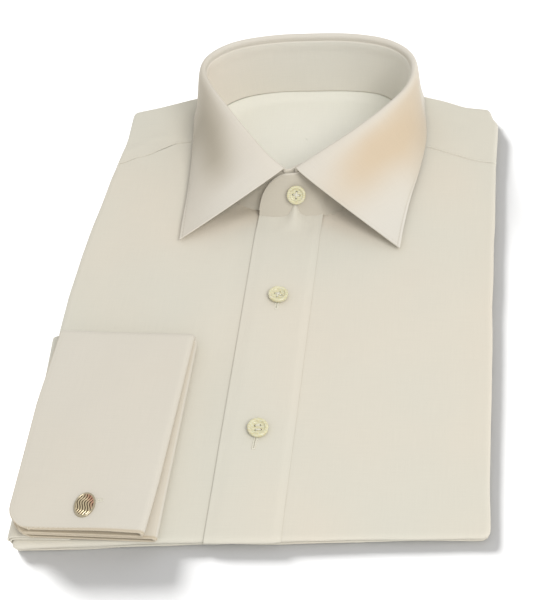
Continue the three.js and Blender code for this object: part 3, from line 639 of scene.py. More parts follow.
def link_material():
    m = Mat("cufflink_gilt")
    tc = node(m.nt, "ShaderNodeTexCoord")
    groove_and_painted_shade = node(m.nt, "ShaderNodeAttribute", attribute_name="groove_and_painted_shade")
    rose_painted_reflection = node(m.nt, "ShaderNodeAttribute", attribute_name="rose_painted_reflection")
    rim = node(m.nt, "ShaderNodeAttribute", attribute_name="rim")
    n = m.noise(tc.outputs["Object"], 700.0, 3.0)
    gold = m.mixc(m.math("MULTIPLY", n, 0.6), (0.70, 0.61, 0.42), (0.56, 0.43, 0.24))
    # the rose tint is a painted reflection, and the dark colour also paints shade on the lower-left part of the head
    gold = m.mixc(rose_painted_reflection.outputs["Fac"], gold, (0.60, 0.33, 0.22))
    dark = m.mixc(n, (0.030, 0.015, 0.007), (0.075, 0.038, 0.016))
    col = m.mixc(groove_and_painted_shade.outputs["Fac"], gold, dark)
    col = m.mixc(rim.outputs["Fac"], col, (0.50, 0.44, 0.32))
    m.link(col, m.bsdf.inputs["Base Color"])
    m.link(m.math("SUBTRACT", 1.0, m.math("MULTIPLY", groove_and_painted_shade.outputs["Fac"], 0.75)), m.bsdf.inputs["Metallic"])
    rough = m.math("ADD", m.math("MULTIPLY_ADD", n, 0.12, 0.20), m.math("MULTIPLY", groove_and_painted_shade.outputs["Fac"], 0.28))
    m.link(rough, m.bsdf.inputs["Roughness"])
    m.link(m.bump(n, 0.05, 0.0001), m.bsdf.inputs["Normal"])
    return m.m


MAT_LINK = link_material()


# ------------------------------------------------------------------------------- neck lines
COLLAR_T = np.linspace(0, 18, 721)
NECK = along(COLLAR, [0, 1], COLLAR_T)


def plan_heading(rows, cols, t):
    a, b = along(rows, cols, t - 0.04), along(rows, cols, t + 0.04)
    d = b - a
    n = np.stack([-d[:, 1], d[:, 0]], -1)
    return n / np.linalg.norm(n, axis=1)[:, None]


def neck_left(u):     # from the seam on the wearer's right shoulder to the front
    k = COLLAR_T <= 5.0
    return np.interp(u, NECK[k][::-1, 0], NECK[k][::-1, 1])


def neck_right(u):
    k = COLLAR_T >= 13.2
    return np.interp(u, NECK[k][::-1, 0], NECK[k][::-1, 1])


def seam_left(u):
    return np.interp(u, SEAM_L[:, 0], SEAM_L[:, 1])


def seam_right(u):
    return np.interp(u, SEAM_R[:, 0], SEAM_R[:, 1])


def soft(curve, u, w=2.2):
    """The same line with its corners eased."""
    return sum(curve(u + k * w) * c for k, c in ((-1.5, 0.12), (-0.75, 0.22), (0, 0.32), (0.75, 0.22), (1.5, 0.12)))


left_edge = lambda v: np.interp(v, [-1.2, 70, 136, 160, 192, 226, 256, 290, 313.4], [-117.6, -119.6, -123.4, -124, -123, -119.8, -117.4, -113.6, -112.6])
right_edge = lambda v: np.interp(v, [6, 90, 200, 300], [124.3, 123.6, 123.3, 124.2])
foot_edge = lambda u: np.interp(u, [-117.6, -58, -19.5, 40, 124.3], [-2.8, 0, 2, 3.4, 6.0])
EXT = 4.6


# ------------------------------------------------------------------------------- fronts
def front_grid(side):
    """Plan grid of a front: rows up the garment, columns from the placket outwards."""
    if side < 0:
        inner, nominal = 12.0, -121.0
        top = lambda u: np.where(u < -61.2, soft(seam_left, u) + 2.4, np.minimum(neck_left(u) + 1.2, np.where(u > -3, 221.0, 400)))
        outer = lambda v: left_edge(v) - EXT
    else:
        inner, nominal = 17.3, 124.0
        top = lambda u: np.where(u > 65.2, soft(seam_right, u) + 2.4, neck_right(np.maximum(u, 17)) + 1.2)
        outer = lambda v: right_edge(v) + EXT
    width = abs(nominal - inner) + EXT
    d = np.unique(np.round(np.concatenate([
        ladder(width, 0.45, 2.6, 1.12),
        width - np.array([0.0, 0.3, 0.9, 1.8])]), 4))
    if side < 0:
        # columns close together where the neck is steep
        extra = width - (inner + np.array([49.5, 53, 55, 57, 58.5, 60, 61.4, 62.5]))
        d = np.unique(np.concatenate([d, extra]))
    else:
        extra = width - (np.array([57, 59.5, 61.5, 63, 64.2, 65.4, 66.5]) - inner)
        d = np.unique(np.concatenate([d, extra]))
    s = d / width                      # 0 at the outer edge, 1 at the placket
    long = 290.0
    r = ladder(long, 0.45, 2.6, 1.12)
    r = np.unique(np.concatenate([r, long - np.array([0.3, 0.9, 1.8, 3.0])]))
    t = r / long
    un = mix(nominal + (EXT if side > 0 else -EXT), inner, s)
    T, UN = np.meshgrid(t, un, indexing="ij")
    V = mix(foot_edge(UN) - EXT, top(UN), T)
    U = mix(outer(V), np.full_like(V, inner), np.broadcast_to(s, V.shape))
    return U, V


def tuck(side):
    """A front dips where it passes under the yoke, and beside the placket's seam."""
    line = (lambda u: soft(seam_left, u)) if side < 0 else (lambda u: soft(seam_right, u))

    def f(u, v):
        out = np.abs(u) > 60
        r = np.where(out, -0.62 * ss(v, line(u) - 0.9, line(u) + 0.9), 0)
        r = r + np.where(out, 0.10 * np.sin(u / 1.9 + 1.3 * np.sin(u / 7.0)) * np.exp(-0.5 * ((v - line(u) + 3.2) / 2.4) ** 2), 0)
        if side > 0:
            r = r - 0.08 * np.exp(-0.5 * ((u - 20.2) / 1.1) ** 2)
            r = r + 0.05 * np.sin(v / 3.1 + 2 * np.sin(v / 13.0)) * np.exp(-0.5 * ((u - 22.0) / 1.8) ** 2)
        return r
    return f


def front(name, side, node_name):
    U, V = front_grid(side)
    f = tuck(side)
    F = skin(U, V, 0.0, extra=f)
    B = skin(U, V, -0.5, extra=f)
    UV = np.stack([U, V], -1)
    p, q, w = sheet_parts(F, B, UV)
    if side < 0:
        # painted shade under the collar leaves: a warm tan band along the neck on both fronts, and a darker band on the
        # wearer's right front
        warm = band(U, V, [(-66, 203, 0.2), (-50, 211, 0.6), (-34, 219, 0.9), (-22, 224, 0.9)], 7.0)
        painted_shade = band(U, V, [(-50, 213, 0.02), (-36, 222, 0.14), (-22, 228, 0.22)], 6.0)
    else:
        warm = band(U, V, [(66, 200, 0.2), (50, 206, 0.5), (34, 214, 0.7), (22, 220, 0.7)], 6.0)
        painted_shade = np.zeros_like(U)
    return make_object(name, p, q, w, MAT_BODY, [node_name], attrs={"warm": padded(warm, len(p)), "painted_shade": padded(painted_shade, len(p))})


front_right = front("front_right_cloth", -1, "front_right")
front_left = front("front_left_cloth", 1, "front_left")


# ------------------------------------------------------------------------------- yoke
def loop_between(a_uv, b_uv, count):
    """Outline from near one point to near the other, the long way over the top."""
    i = int(np.linalg.norm(LOOP - np.array(a_uv), axis=1).argmin())
    j = int(np.linalg.norm(LOOP - np.array(b_uv), axis=1).argmin())
    n = len(LOOP)
    ids = np.arange(i, i - ((i - j) % n) - 1, -1) % n
    pts = LOOP[ids] + LOOP_N[ids] * EXT
    s = np.concatenate([[0], np.cumsum(np.linalg.norm(np.diff(pts, axis=0), axis=1))])
    q = np.linspace(0, s[-1], count)
    return np.stack([np.interp(q, s, pts[:, k]) for k in (0, 1)], -1)


def yoke_grid():
    cols = 190
    w = both_ends(1.0, 0.0012, 1.0 / 150, 1.4)
    cols = len(w)
    neck = along(COLLAR, [0, 1], mix(4.46, 13.80, w))
    out = plan_heading(COLLAR, [0, 1], mix(4.46, 13.80, w))
    c0 = neck - out * 1.0
    raw = loop_between((-117, 267.3), (123.7, 263.9), 1200)
    sr = np.concatenate([[0], np.cumsum(np.linalg.norm(np.diff(raw, axis=0), axis=1))])
    # spread the outer points so that the rows run square to the neck
    c1 = np.stack([np.interp(w * sr[-1], sr, raw[:, k]) for k in (0, 1)], -1)
    lo, hi = c0[0], c1[0]
    lr, hr = c0[-1], c1[-1]
    lens = np.linalg.norm(c1 - c0, axis=1)
    nb = 18
    rows = []
    na = 26
    rolled = 8.2
    flat_share = np.linspace(0, 1, na)
    T = np.zeros((na + nb - 1, cols))
    for k in range(cols):
        tr = max(0.15, 1 - rolled / lens[k])
        T[:, k] = np.concatenate([flat_share * tr, np.linspace(tr, 1, nb)[1:]])
    W = np.broadcast_to(w, T.shape)
    # side lines follow the seams
    def side_line(curve, a, b, t):
        u = mix(a[0], b[0], t)
        return np.stack([u, curve(u)], -1)
    d0 = side_line(lambda u: soft(seam_left, u), lo, hi, T[:, 0])
    d1 = side_line(lambda u: soft(seam_right, u), lr, hr, T[:, -1])
    lin0 = lo + (hi - lo) * T[:, 0][:, None]
    lin1 = lr + (hr - lr) * T[:, -1][:, None]
    P = c0[None] * (1 - T[..., None]) + c1[None] * T[..., None]
    P = P + (1 - W[..., None]) ** 3 * (d0 - lin0)[:, None] + W[..., None] ** 3 * (d1 - lin1)[:, None]
    return P[..., 0], P[..., 1]


U, V = yoke_grid()


def yoke_extra(u, v):
    line = np.where(u < 0, soft(seam_left, u), soft(seam_right, u))
    return np.where(np.abs(u) > 58, 0.07 * np.sin(u / 1.7 + 1.1 * np.sin(u / 6.0)) * np.exp(-0.5 * ((v - line - 2.6) / 2.0) ** 2), 0)


F = skin(U, V, 0.15, extra=yoke_extra)
B = skin(U, V, -0.37, extra=yoke_extra)
p, q, w = sheet_parts(F, B, np.stack([V, U], -1))
yoke = make_object("yoke_cloth", p, q, w, MAT_BODY, ["yoke"])


# ------------------------------------------------------------------------------- inside of the back
def polar(centre, loop, shares):
    c = np.array(centre)
    return c + (loop[None] - c) * shares[:, None, None]


neck_t = np.linspace(0, 18, 221)
neck_line = along(COLLAR, [0, 1], neck_t)
neck_out = plan_heading(COLLAR, [0, 1], neck_t)
ring = neck_line + neck_out * 0.9
# close the front where the two ends cross
shares = 1 - ladder(0.9985, 0.004, 0.028, 1.2)
G = polar((2.5, 290.0), ring, shares)
sh = np.broadcast_to(shares[:, None], G.shape[:2])


def bowl_height(u, v, s):
    dip = 3.3 * np.maximum(ss(1 - s, 0, 0.22), ss(301 - v, 0, 12)) * (1 - ss(s, 0.950, 0.972))
    wave = 0.18 * np.sin(u / 13.0 + 0.5) * np.sin(v / 17.0) * ss(1 - s, 0.02, 0.3)
    fold = 0.30 * np.exp(-0.5 * ((u - 22 - (v - 280) * 0.25) / 5.0) ** 2) * ss(1 - s, 0.1, 0.4) - 0.25 * np.exp(-0.5 * ((u + 20 + (v - 300) * 0.4) / 6.0) ** 2) * ss(1 - s, 0.1, 0.4)
    return stack(u, v) - relief(u, v) - dip - 0.55 + wave + fold - 0.5 * ss(s, 0.958, 0.985)


h = bowl_height(G[..., 0], G[..., 1], sh)
F = place(G[..., 0], G[..., 1], h)
B = place(G[..., 0], G[..., 1], h - 0.5)
p, q, w = sheet_parts(F, B, G, wrap=True)
# painted light: the inside of the back uses a lighter copy of the cloth
back_inside = make_object("back_inside_cloth", p, q, w, MAT_INSIDE_PAINTED_LIGHT)


# ------------------------------------------------------------------------------- collar stand
def stand_grid(rows=300, cols=16, thick=1.4):
    last = len(STATIONS) - 1
    t = np.linspace(0, last, rows)
    ft = along(STATIONS, [0, 1], t)
    run = np.concatenate([[0], np.cumsum(np.linalg.norm(np.diff(ft, axis=0), axis=1))])
    # even steps, closer at both ends
    want = both_ends(run[-1], 0.25, run[-1] / rows * 1.15, 1.2)
    t = np.interp(want, run, t)
    run = want
    total = run[-1]
    x = along(STATIONS, [0, 1, 2, 3, 4, 5], t)
    bu, bv, fu, fv, fz, side = x.T
    o = plan_heading(STATIONS, [0, 1], t)
    q = plan_heading(STATIONS, [2, 3], t)
    rnd = lambda d, r: np.where(d >= r, 1.0, np.sqrt(np.maximum(0, 1 - (1 - d / r) ** 2)))
    share = 0.14 + 0.86 * np.minimum(rnd(run, 20), rnd(total - run, 19))
    js = both_ends(1.0, 0.012, 1.0 / (cols - 4), 1.5)
    s = js[None] * share[:, None]
    d = o[:, None] * (1 - s[..., None]) + q[:, None] * s[..., None]
    d /= np.linalg.norm(d, axis=2)[..., None]
    inner = side[:, None] * (1 - 0.25 * s)
    on_placket = (np.abs(bu) < 20.5) & (bv < 225)
    H0 = stack(bu, bv) - relief(bu, bv)
    foot = H0 + 0.02 + 1.0 * ss(-(np.abs(bu) - 21.5), 0, 2.5) * ss(226.5 - bv, 0, 2)
    top = fz - 4.8
    roll, half = 2.2, 0.85
    cu = mix(bu[:, None], (fu - q[:, 0] * (roll - half))[:, None], s) + d[..., 0] * inner
    cv = mix(bv[:, None], (fv - q[:, 1] * (roll - half))[:, None], s) + d[..., 1] * inner
    cz = mix(foot[:, None], top[:, None], s)
    # gentle belly of the band between its seams
    belly = 0.35 * np.sin(np.pi * s) + 0.22 * np.sin(run / 17.0)[:, None] * np.sin(np.pi * s)
    cu = cu + d[..., 0] * belly
    cv = cv + d[..., 1] * belly
    ledge = 0.55 * ss(s, 0.80, 0.92) * (np.minimum(run, total - run) > 24)[:, None]
    h = thick / 2
    F = place(cu + d[..., 0] * h, cv + d[..., 1] * h, cz)
    B = place(cu - d[..., 0] * (h + ledge), cv - d[..., 1] * (h + ledge), cz)
    UV = np.stack([np.broadcast_to(run[:, None], s.shape), s * (top - foot)[:, None]], -1)
    return F, B, UV, t, s, bu


SF, SB, SUV, ST, SS, SBU = stand_grid()
warm = None
p, q, w = sheet_parts(SF, SB, SUV)
# painted shade on the stand's lighter cloth: the outer face, the rim and both ends of the inner face are darkened; the
# inner face is warmer towards the underlap end
outer_painted_shade = 0.27 * np.ones_like(SS)
inner_painted_shade = 0.27 * (ss(ST, 17.6, 19.0) + ss(-ST, -3.2, -1.6))[:, None] * np.ones_like(SS)
inner_warm = 1.1 * ss(-ST, -11, -5)[:, None] * np.ones_like(SS) - 0.2
rest = np.zeros(len(p) - 2 * SS.size)
stand = make_object("collar_stand_cloth", p, q, w, MAT_STAND_PAINTED_LIGHT, ["collar_stand"], attrs={
    "painted_shade": np.concatenate([outer_painted_shade.ravel(), inner_painted_shade.ravel(), rest + 0.12]),
    "warm": np.concatenate([0 * inner_warm.ravel(), inner_warm.ravel(), rest])})


# ------------------------------------------------------------------------------- collar fall
def bezier(p0, p1, p2, p3, s):
    s = s[..., None]
    return p0 * (1 - s) ** 3 + 3 * p1 * s * (1 - s) ** 2 + 3 * p2 * s * s * (1 - s) + p3 * s ** 3


def fall_grid(rows=300):
    t = np.linspace(0, 18, rows)
    t = np.interp(both_ends(18.0, 0.012, 18.0 / rows * 1.1, 1.3), t, t)
    x = along(COLLAR, [2, 3, 4, 5, 6, 7], t)
    fu, fv, fz, eu, ev, ez = x.T
    o = plan_heading(COLLAR, [2, 3], t)
    r = 2.2
    reach, drop_z = [], []
    for a in (4.5, 4.2, 3.6, 3.0):
        reach.append(-r)
        drop_z.append(-a)
    for k in np.linspace(0, math.pi / 2, 10):
        reach.append(-r * math.cos(k))
        drop_z.append(-2.4 + 2.4 * math.sin(k))
    reach, drop_z = np.array(reach)[:-1], np.array(drop_z)[:-1]
    U0 = fu[:, None] + o[:, :1] * reach
    V0 = fv[:, None] + o[:, 1:] * reach
    Z0 = fz[:, None] + drop_z
    Fp = np.stack([fu, fv, fz], -1)
    Ep = np.stack([eu, ev, ez], -1)
    span = np.linalg.norm(Fp - Ep, axis=1)
    front = ss(span, 44, 74)
    reach1 = mix(4.2, 9.0, front)
    c1 = np.stack([fu + o[:, 0] * reach1, fv + o[:, 1] * reach1, fz - mix(0.2, 0.4, front)], -1)
    aw = Ep[:, :2] - Fp[:, :2]
    aw /= np.linalg.norm(aw, axis=1)[:, None]
    back2 = mix(5.0, 20.0, front)
    c2 = np.stack([eu - aw[:, 0] * back2, ev - aw[:, 1] * back2, ez + (fz - ez) * mix(0.34, 0.22, front)], -1)
    near = np.array([0.0, 0.15, 0.45, 0.85, 1.15, 1.4, 1.6, 1.8, 2.05, 2.4, 2.9])
    rate = 3 * back2[:, None]
    last = 1 - 3.6 / rate
    S = np.concatenate([np.linspace(0, 1, 32)[None] * last, 1 - near[::-1][None] / rate], 1)
    C = bezier(Fp[:, None], c1[:, None], c2[:, None], Ep[:, None], S)
    # the leaves are not flat: a soft hollow runs down each one from the roll
    k = np.sin(np.pi * S) * front[:, None]
    hollow = -1.1 * np.exp(-0.5 * ((t[:, None] - 2.6) / 1.1) ** 2) - 0.8 * np.exp(-0.5 * ((t[:, None] - 15.6) / 1.1) ** 2)
    crown = 0.7 * np.exp(-0.5 * ((t[:, None] - 0.6) / 0.9) ** 2) + 0.6 * np.exp(-0.5 * ((t[:, None] - 17.5) / 0.8) ** 2)
    C[..., 2] += (hollow + crown) * k
    uu = np.concatenate([U0, C[..., 0]], 1)
    vv = np.concatenate([V0, C[..., 1]], 1)
    zz = np.concatenate([Z0, C[..., 2]], 1)
    F = place(uu, vv, zz)
    n = normals_of(F)
    mid = len(t) // 2
    if n[mid, -3, 1] < 0:       # outwards at the back is +Y
        n = -n
    B = F - n * 1.1
    free = np.concatenate([np.zeros((len(t), 1)), np.cumsum(np.linalg.norm(np.diff(F[:, ::-1], axis=1), axis=2), 1)], 1)[:, ::-1]
    F = F - n * (0.17 * np.exp(-((free - 1.6) / 0.34) ** 2))[..., None]
    runs = np.concatenate([np.zeros((len(t), 1)), np.cumsum(np.linalg.norm(np.diff(F, axis=1), axis=2), 1)], 1)
    arc = np.concatenate([[0], np.cumsum(np.linalg.norm(np.diff(F[:, 12], axis=0), axis=1))])
    UV = np.stack([np.broadcast_to(arc[:, None], runs.shape), runs], -1)
    return F, B, UV, t, n, runs, free


FF, FB, FUV, FT, FN, FRUN, FFREE = fall_grid()
p, q, w = sheet_parts(FF, FB, FUV)
# painted shade in soft bands down the leaves: a darker one on the wearer's right, a warm darker one on the left; also
# painted shade on the outer part of the wearer's right leaf and along the stitch line, and a painted highlight right at
# the free edge


def garment_uv(P):
    v = P[..., 1] - OY
    return P[..., 0] - OX - v * LEAN, v


GU, GV = garment_uv(FF)
down = FRUN / FRUN[:, -1:]
on_leaf = ss(down, 0.06, 0.26)
tone = band(GU, GV, [(75, 292, 0.55), (70, 276, 0.85), (61, 260, 1.0), (50, 249, 0.95), (40, 235, 0.75), (32, 223, 0.4)], 9.5, 2.0) * on_leaf
tone = tone - 0.06
painted_shade = band(GU, GV, [(-66, 318, 0.12), (-67, 302, 0.20), (-62, 281, 0.35), (-54, 266, 0.34), (-48, 250, 0.31), (-43, 240, 0.20), (-36, 228, 0.02)], 7.5) * ss(down, -0.05, 0.25)
painted_shade = painted_shade + 0.07 * ss(-GU, 34, 58) * on_leaf
painted_shade = painted_shade + band(GU, GV, [(75, 292, 0.14), (70, 276, 0.15), (61, 260, 0.13), (50, 249, 0.12), (40, 235, 0.09), (32, 223, 0.05)], 11.0) * on_leaf
painted_shade = painted_shade + 0.10 * np.exp(-((FFREE - 1.6) / 0.4) ** 2) * on_leaf - 0.04 * ss(-FFREE, -1.1, -0.5) * on_leaf
pad = np.zeros(len(p) - 2 * tone.size)
fall = make_object("collar_fall_cloth", p, q, w, MAT_COLLAR, ["collar_fall"], attrs={"warm": np.concatenate([tone.ravel(), tone.ravel(), pad]), "painted_shade": np.concatenate([painted_shade.ravel(), painted_shade.ravel(), pad])})


# ------------------------------------------------------------------------------- placket
def on_stand_face(u, rise):
    """A point on the overlapping front end of the stand, rise mm above its foot."""
    k = np.where((ST > 18.9))[0]
    ub = SBU[k]
    order = np.argsort(ub)
    row = np.interp(u, ub[order], k[order].astype(float))
    cols = SF.shape[1]
    i0 = np.clip(np.floor(row).astype(int), 0, SF.shape[0] - 2)
    f = (row - i0)[:, None]
    line = SF[i0] * (1 - f[..., None]) + SF[i0 + 1] * f[..., None]
    z = line[..., 2] - line[:, :1, 2]
    out = np.zeros((len(u), 3))
    for a in range(len(u)):
        for c in range(3):
            out[a, c] = np.interp(rise[a], z[a], line[a, :, c])
    return out


def placket_part():
    width = 2 * PLACKET_HALF
    d = both_ends(width, 0.2, 1.0, 1.35)
    d = np.unique(np.concatenate([d, PLACKET_HALF + 2.6 + np.arange(-7, 7.1, 0.5)]))
    d = d[np.concatenate([[True], np.diff(d) > 0.12])]
    d[-1] = width
    u = -PLACKET_HALF + d
    long = 207.0
    r = ladder(long + EXT, 0.4, 2.4, 1.15)
    v0 = foot_edge(u) - EXT
    V = v0[None] + (207.0 - v0)[None] * (r / r[-1])[:, None]
    U = np.broadcast_to(u, V.shape)
    top = mix(1.22, 1.05, (u + PLACKET_HALF) / width)
    top = np.where(u < -11, mix(0.86, top, ss(u, -PLACKET_HALF, -11)), top)
    top = np.where(u > 14.5, mix(top, 0.32, ss(u, 14.5, PLACKET_HALF)), top)
    top = top + 0.06 * np.exp(-0.5 * ((u + 18.6) / 0.8) ** 2)
    OFF = np.broadcast_to(top, V.shape) + 0.06 * np.sin(V / 21.0 + 0.5) * np.cos(U / 9.0)
    pucker = 0.05 * np.sin(V / 2.9 + 1.5 * np.sin(V / 11.0)) * np.exp(-0.5 * ((U - 16.6) / 1.4) ** 2)
    F = skin(U, V, OFF + pucker)
    B = skin(U, V, np.minimum(0.10, OFF - 0.2))
    # the head of the band rises to the stand, pulled up under the collar button
    lift = 7.6 * np.exp(-(np.abs(u - 2.6) / 2.5) ** 1.35) + 0.5
    edge = on_stand_face(u, lift)
    edge[:, 1] -= 0.32
    edge[:, 2] += 0.05
    base, back = F[-1], B[-1]
    q = ladder(1.0, 0.06, 0.075, 1.1)[1:]
    e = ss(q)[:, None, None]
    ql = q[:, None, None]
    rise = edge[None, :, 2:] - base[None, :, 2:]
    bulge = np.sin(math.pi * np.clip(q, 0, 1))[:, None] * (0.55 * np.exp(-0.5 * ((u - 2.6) / 5.5) ** 2))[None] - np.sin(math.pi * q)[:, None] * (0.25 * np.exp(-0.5 * ((np.abs(u - 2.6) - 10) / 3.0) ** 2))[None]
    X = base[None] + (edge - base)[None] * ql
    X[..., 2] = base[None, :, 2] + (rise[..., 0]) * (ql[..., 0] ** 2.1) + bulge
    Bk = X.copy()
    Bk[..., 2] -= np.broadcast_to((base[:, 2] - back[:, 2])[None], Bk.shape[:2]) * (1 - ql[..., 0] * 0.6)
    Bk[..., 1] += 0.5 * ql[..., 0] ** 2
    F = np.concatenate([F, X])
    B = np.concatenate([B, Bk])
    VV2 = np.concatenate([V, 207.0 + np.broadcast_to(q[:, None] * 14.0, (len(q), len(u)))])
    UV = np.stack([np.broadcast_to(u, VV2.shape), VV2], -1)
    return F, B, UV


PF, PB, PUV = placket_part()
p, q, w = sheet_parts(PF, PB, PUV)
placket = make_object("placket_cloth", p, q, w, MAT_BODY, ["placket"])


# ------------------------------------------------------------------------------- hidden layers
def layers_part():
    step = 3
    loop, out = LOOP[::step], LOOP_N[::step]
    arc = LOOP_S[::step]
    n = len(loop)
    # one cloth folded to and fro: from the flat underside out to the edge, back in, out and in again
    line = []
    line += [(x, 0.24) for x in (11, 8, 5, 3, 1.8)]
    line += [(0.95 - 0.36 * math.sin(a), 0.60 - 0.36 * math.cos(a)) for a in np.linspace(0, math.pi, 9)]
    line += [(x, 0.96) for x in (2.2, 4, 6)]
    line += [(8.6 + 0.14 * math.sin(a), 1.12 - 0.16 * math.cos(a)) for a in np.linspace(0, math.pi, 5)]
    line += [(x, 1.30) for x in (6, 4, 2.4, 1.4)]
    line += [(0.62 - 0.38 * math.sin(a), 1.68 - 0.38 * math.cos(a)) for a in np.linspace(0, math.pi, 9)]
    line += [(x, 2.06) for x in (1.8, 3.5, 6, 9)]
    line = np.array(line)
    inset, z = line[:, 0], line[:, 1]
    wav1 = 0.45 * np.sin(arc / 29.0 + 0.7) + 0.30 * np.sin(arc / 11.0 + 1.9)
    wav2 = 0.40 * np.sin(arc / 23.0 + 2.2) + 0.35 * np.sin(arc / 9.0 + 0.3)
    zone = np.clip((z - 0.96) / 0.3, 0, 1)[:, None]
    ins = inset[:, None] + (np.abs(wav1)[None] * (1 - zone) + np.abs(wav2)[None] * zone) * np.exp(-((inset - 0.6) / 6.0) ** 2)[:, None]
    G = loop[None] - out[None] * ins[..., None]
    Z = np.broadcast_to(z[:, None], ins.shape).copy()
    # underside to the middle
    sh = 1 - ladder(0.97, 0.02, 0.03, 1.1)
    c = np.array([2.0, 165.0])
    first = loop - out * (ins[0])[:, None]
    inner = c + (first[None] - c) * sh[1:, None, None]
    u, v = inner[..., 0], inner[..., 1]
    # side flaps and the turned-up tail lie lowest; the space between them is a shade higher
    flap = np.maximum(ss(-38 - u + 6 * np.sin(v / 50.0), 0, 2.2), ss(u - 44 - 5 * np.sin(v / 43.0), 0, 2.2))
    tail = ss(92 - v + 3 * np.sin(u / 30.0), 0, 2.0)
    low = np.maximum(flap, tail)
    zin = 0.24 + 0.55 * (1 - low) * ss(1 - np.broadcast_to(sh[1:, None], u.shape), 0.0, 0.08)
    G = np.concatenate([inner[::-1], G])
    Z = np.concatenate([zin[::-1], Z])
    mid = place(G[..., 0], G[..., 1], Z)
    nr = normals_of(mid, wrap=True)
    nr = np.where(np.isfinite(nr), nr, 0)
    F = mid + nr * 0.21
    B = mid - nr * 0.21
    if F[0, 0, 2] > B[0, 0, 2]:
        F, B = B, F
    return F, B, G


LF, LB, LUV = layers_part()
p, q, w = sheet_parts(LF, LB, LUV, wrap=True)
layers = make_object("folded_layers_cloth", p, q, w, MAT_BODY, ["folded_layers"])


# ------------------------------------------------------------------------------- sleeve beside the cuff
def sleeve_part(off, u_in, v0, v1, thick, shift):
    width = 130.0 + u_in * 1.0 if False else None
    d = ladder(30.0 + EXT, 0.4, 1.6, 1.15)
    r = both_ends(v1 - v0, 0.25, 2.4, 1.3)
    v = v0 + r
    U = (left_edge(v) - EXT - shift)[:, None] + d[None]
    V = np.broadcast_to(v[:, None], U.shape)
    F = skin(U, V, off)
    B = skin(U, V, off - thick)
    return sheet_parts(F, B, np.stack([U, V], -1))


sl = [sleeve_part(2.75, -96, 1.7, 128.2, 0.9, 0.0), sleeve_part(1.45, -96, 1.2, 127.2, 0.9, 0.0)]
p, q, w = join_parts(sl)
sleeve = make_object("sleeve_right_cloth", p, q, w, MAT_BODY, ["sleeve_right"])


# ------------------------------------------------------------------------------- cuff
def cuff_base(u, v):
    return stack(u, v) - relief(u, v) + 0.6 + CUFF["lift"] * np.clip((-u - 45) / 70, 0, 1) + 0.2


def cuff_mid(u, v):
    return cuff_base(u, v) + CUFF["pair"] + CUFF["part"] / 2


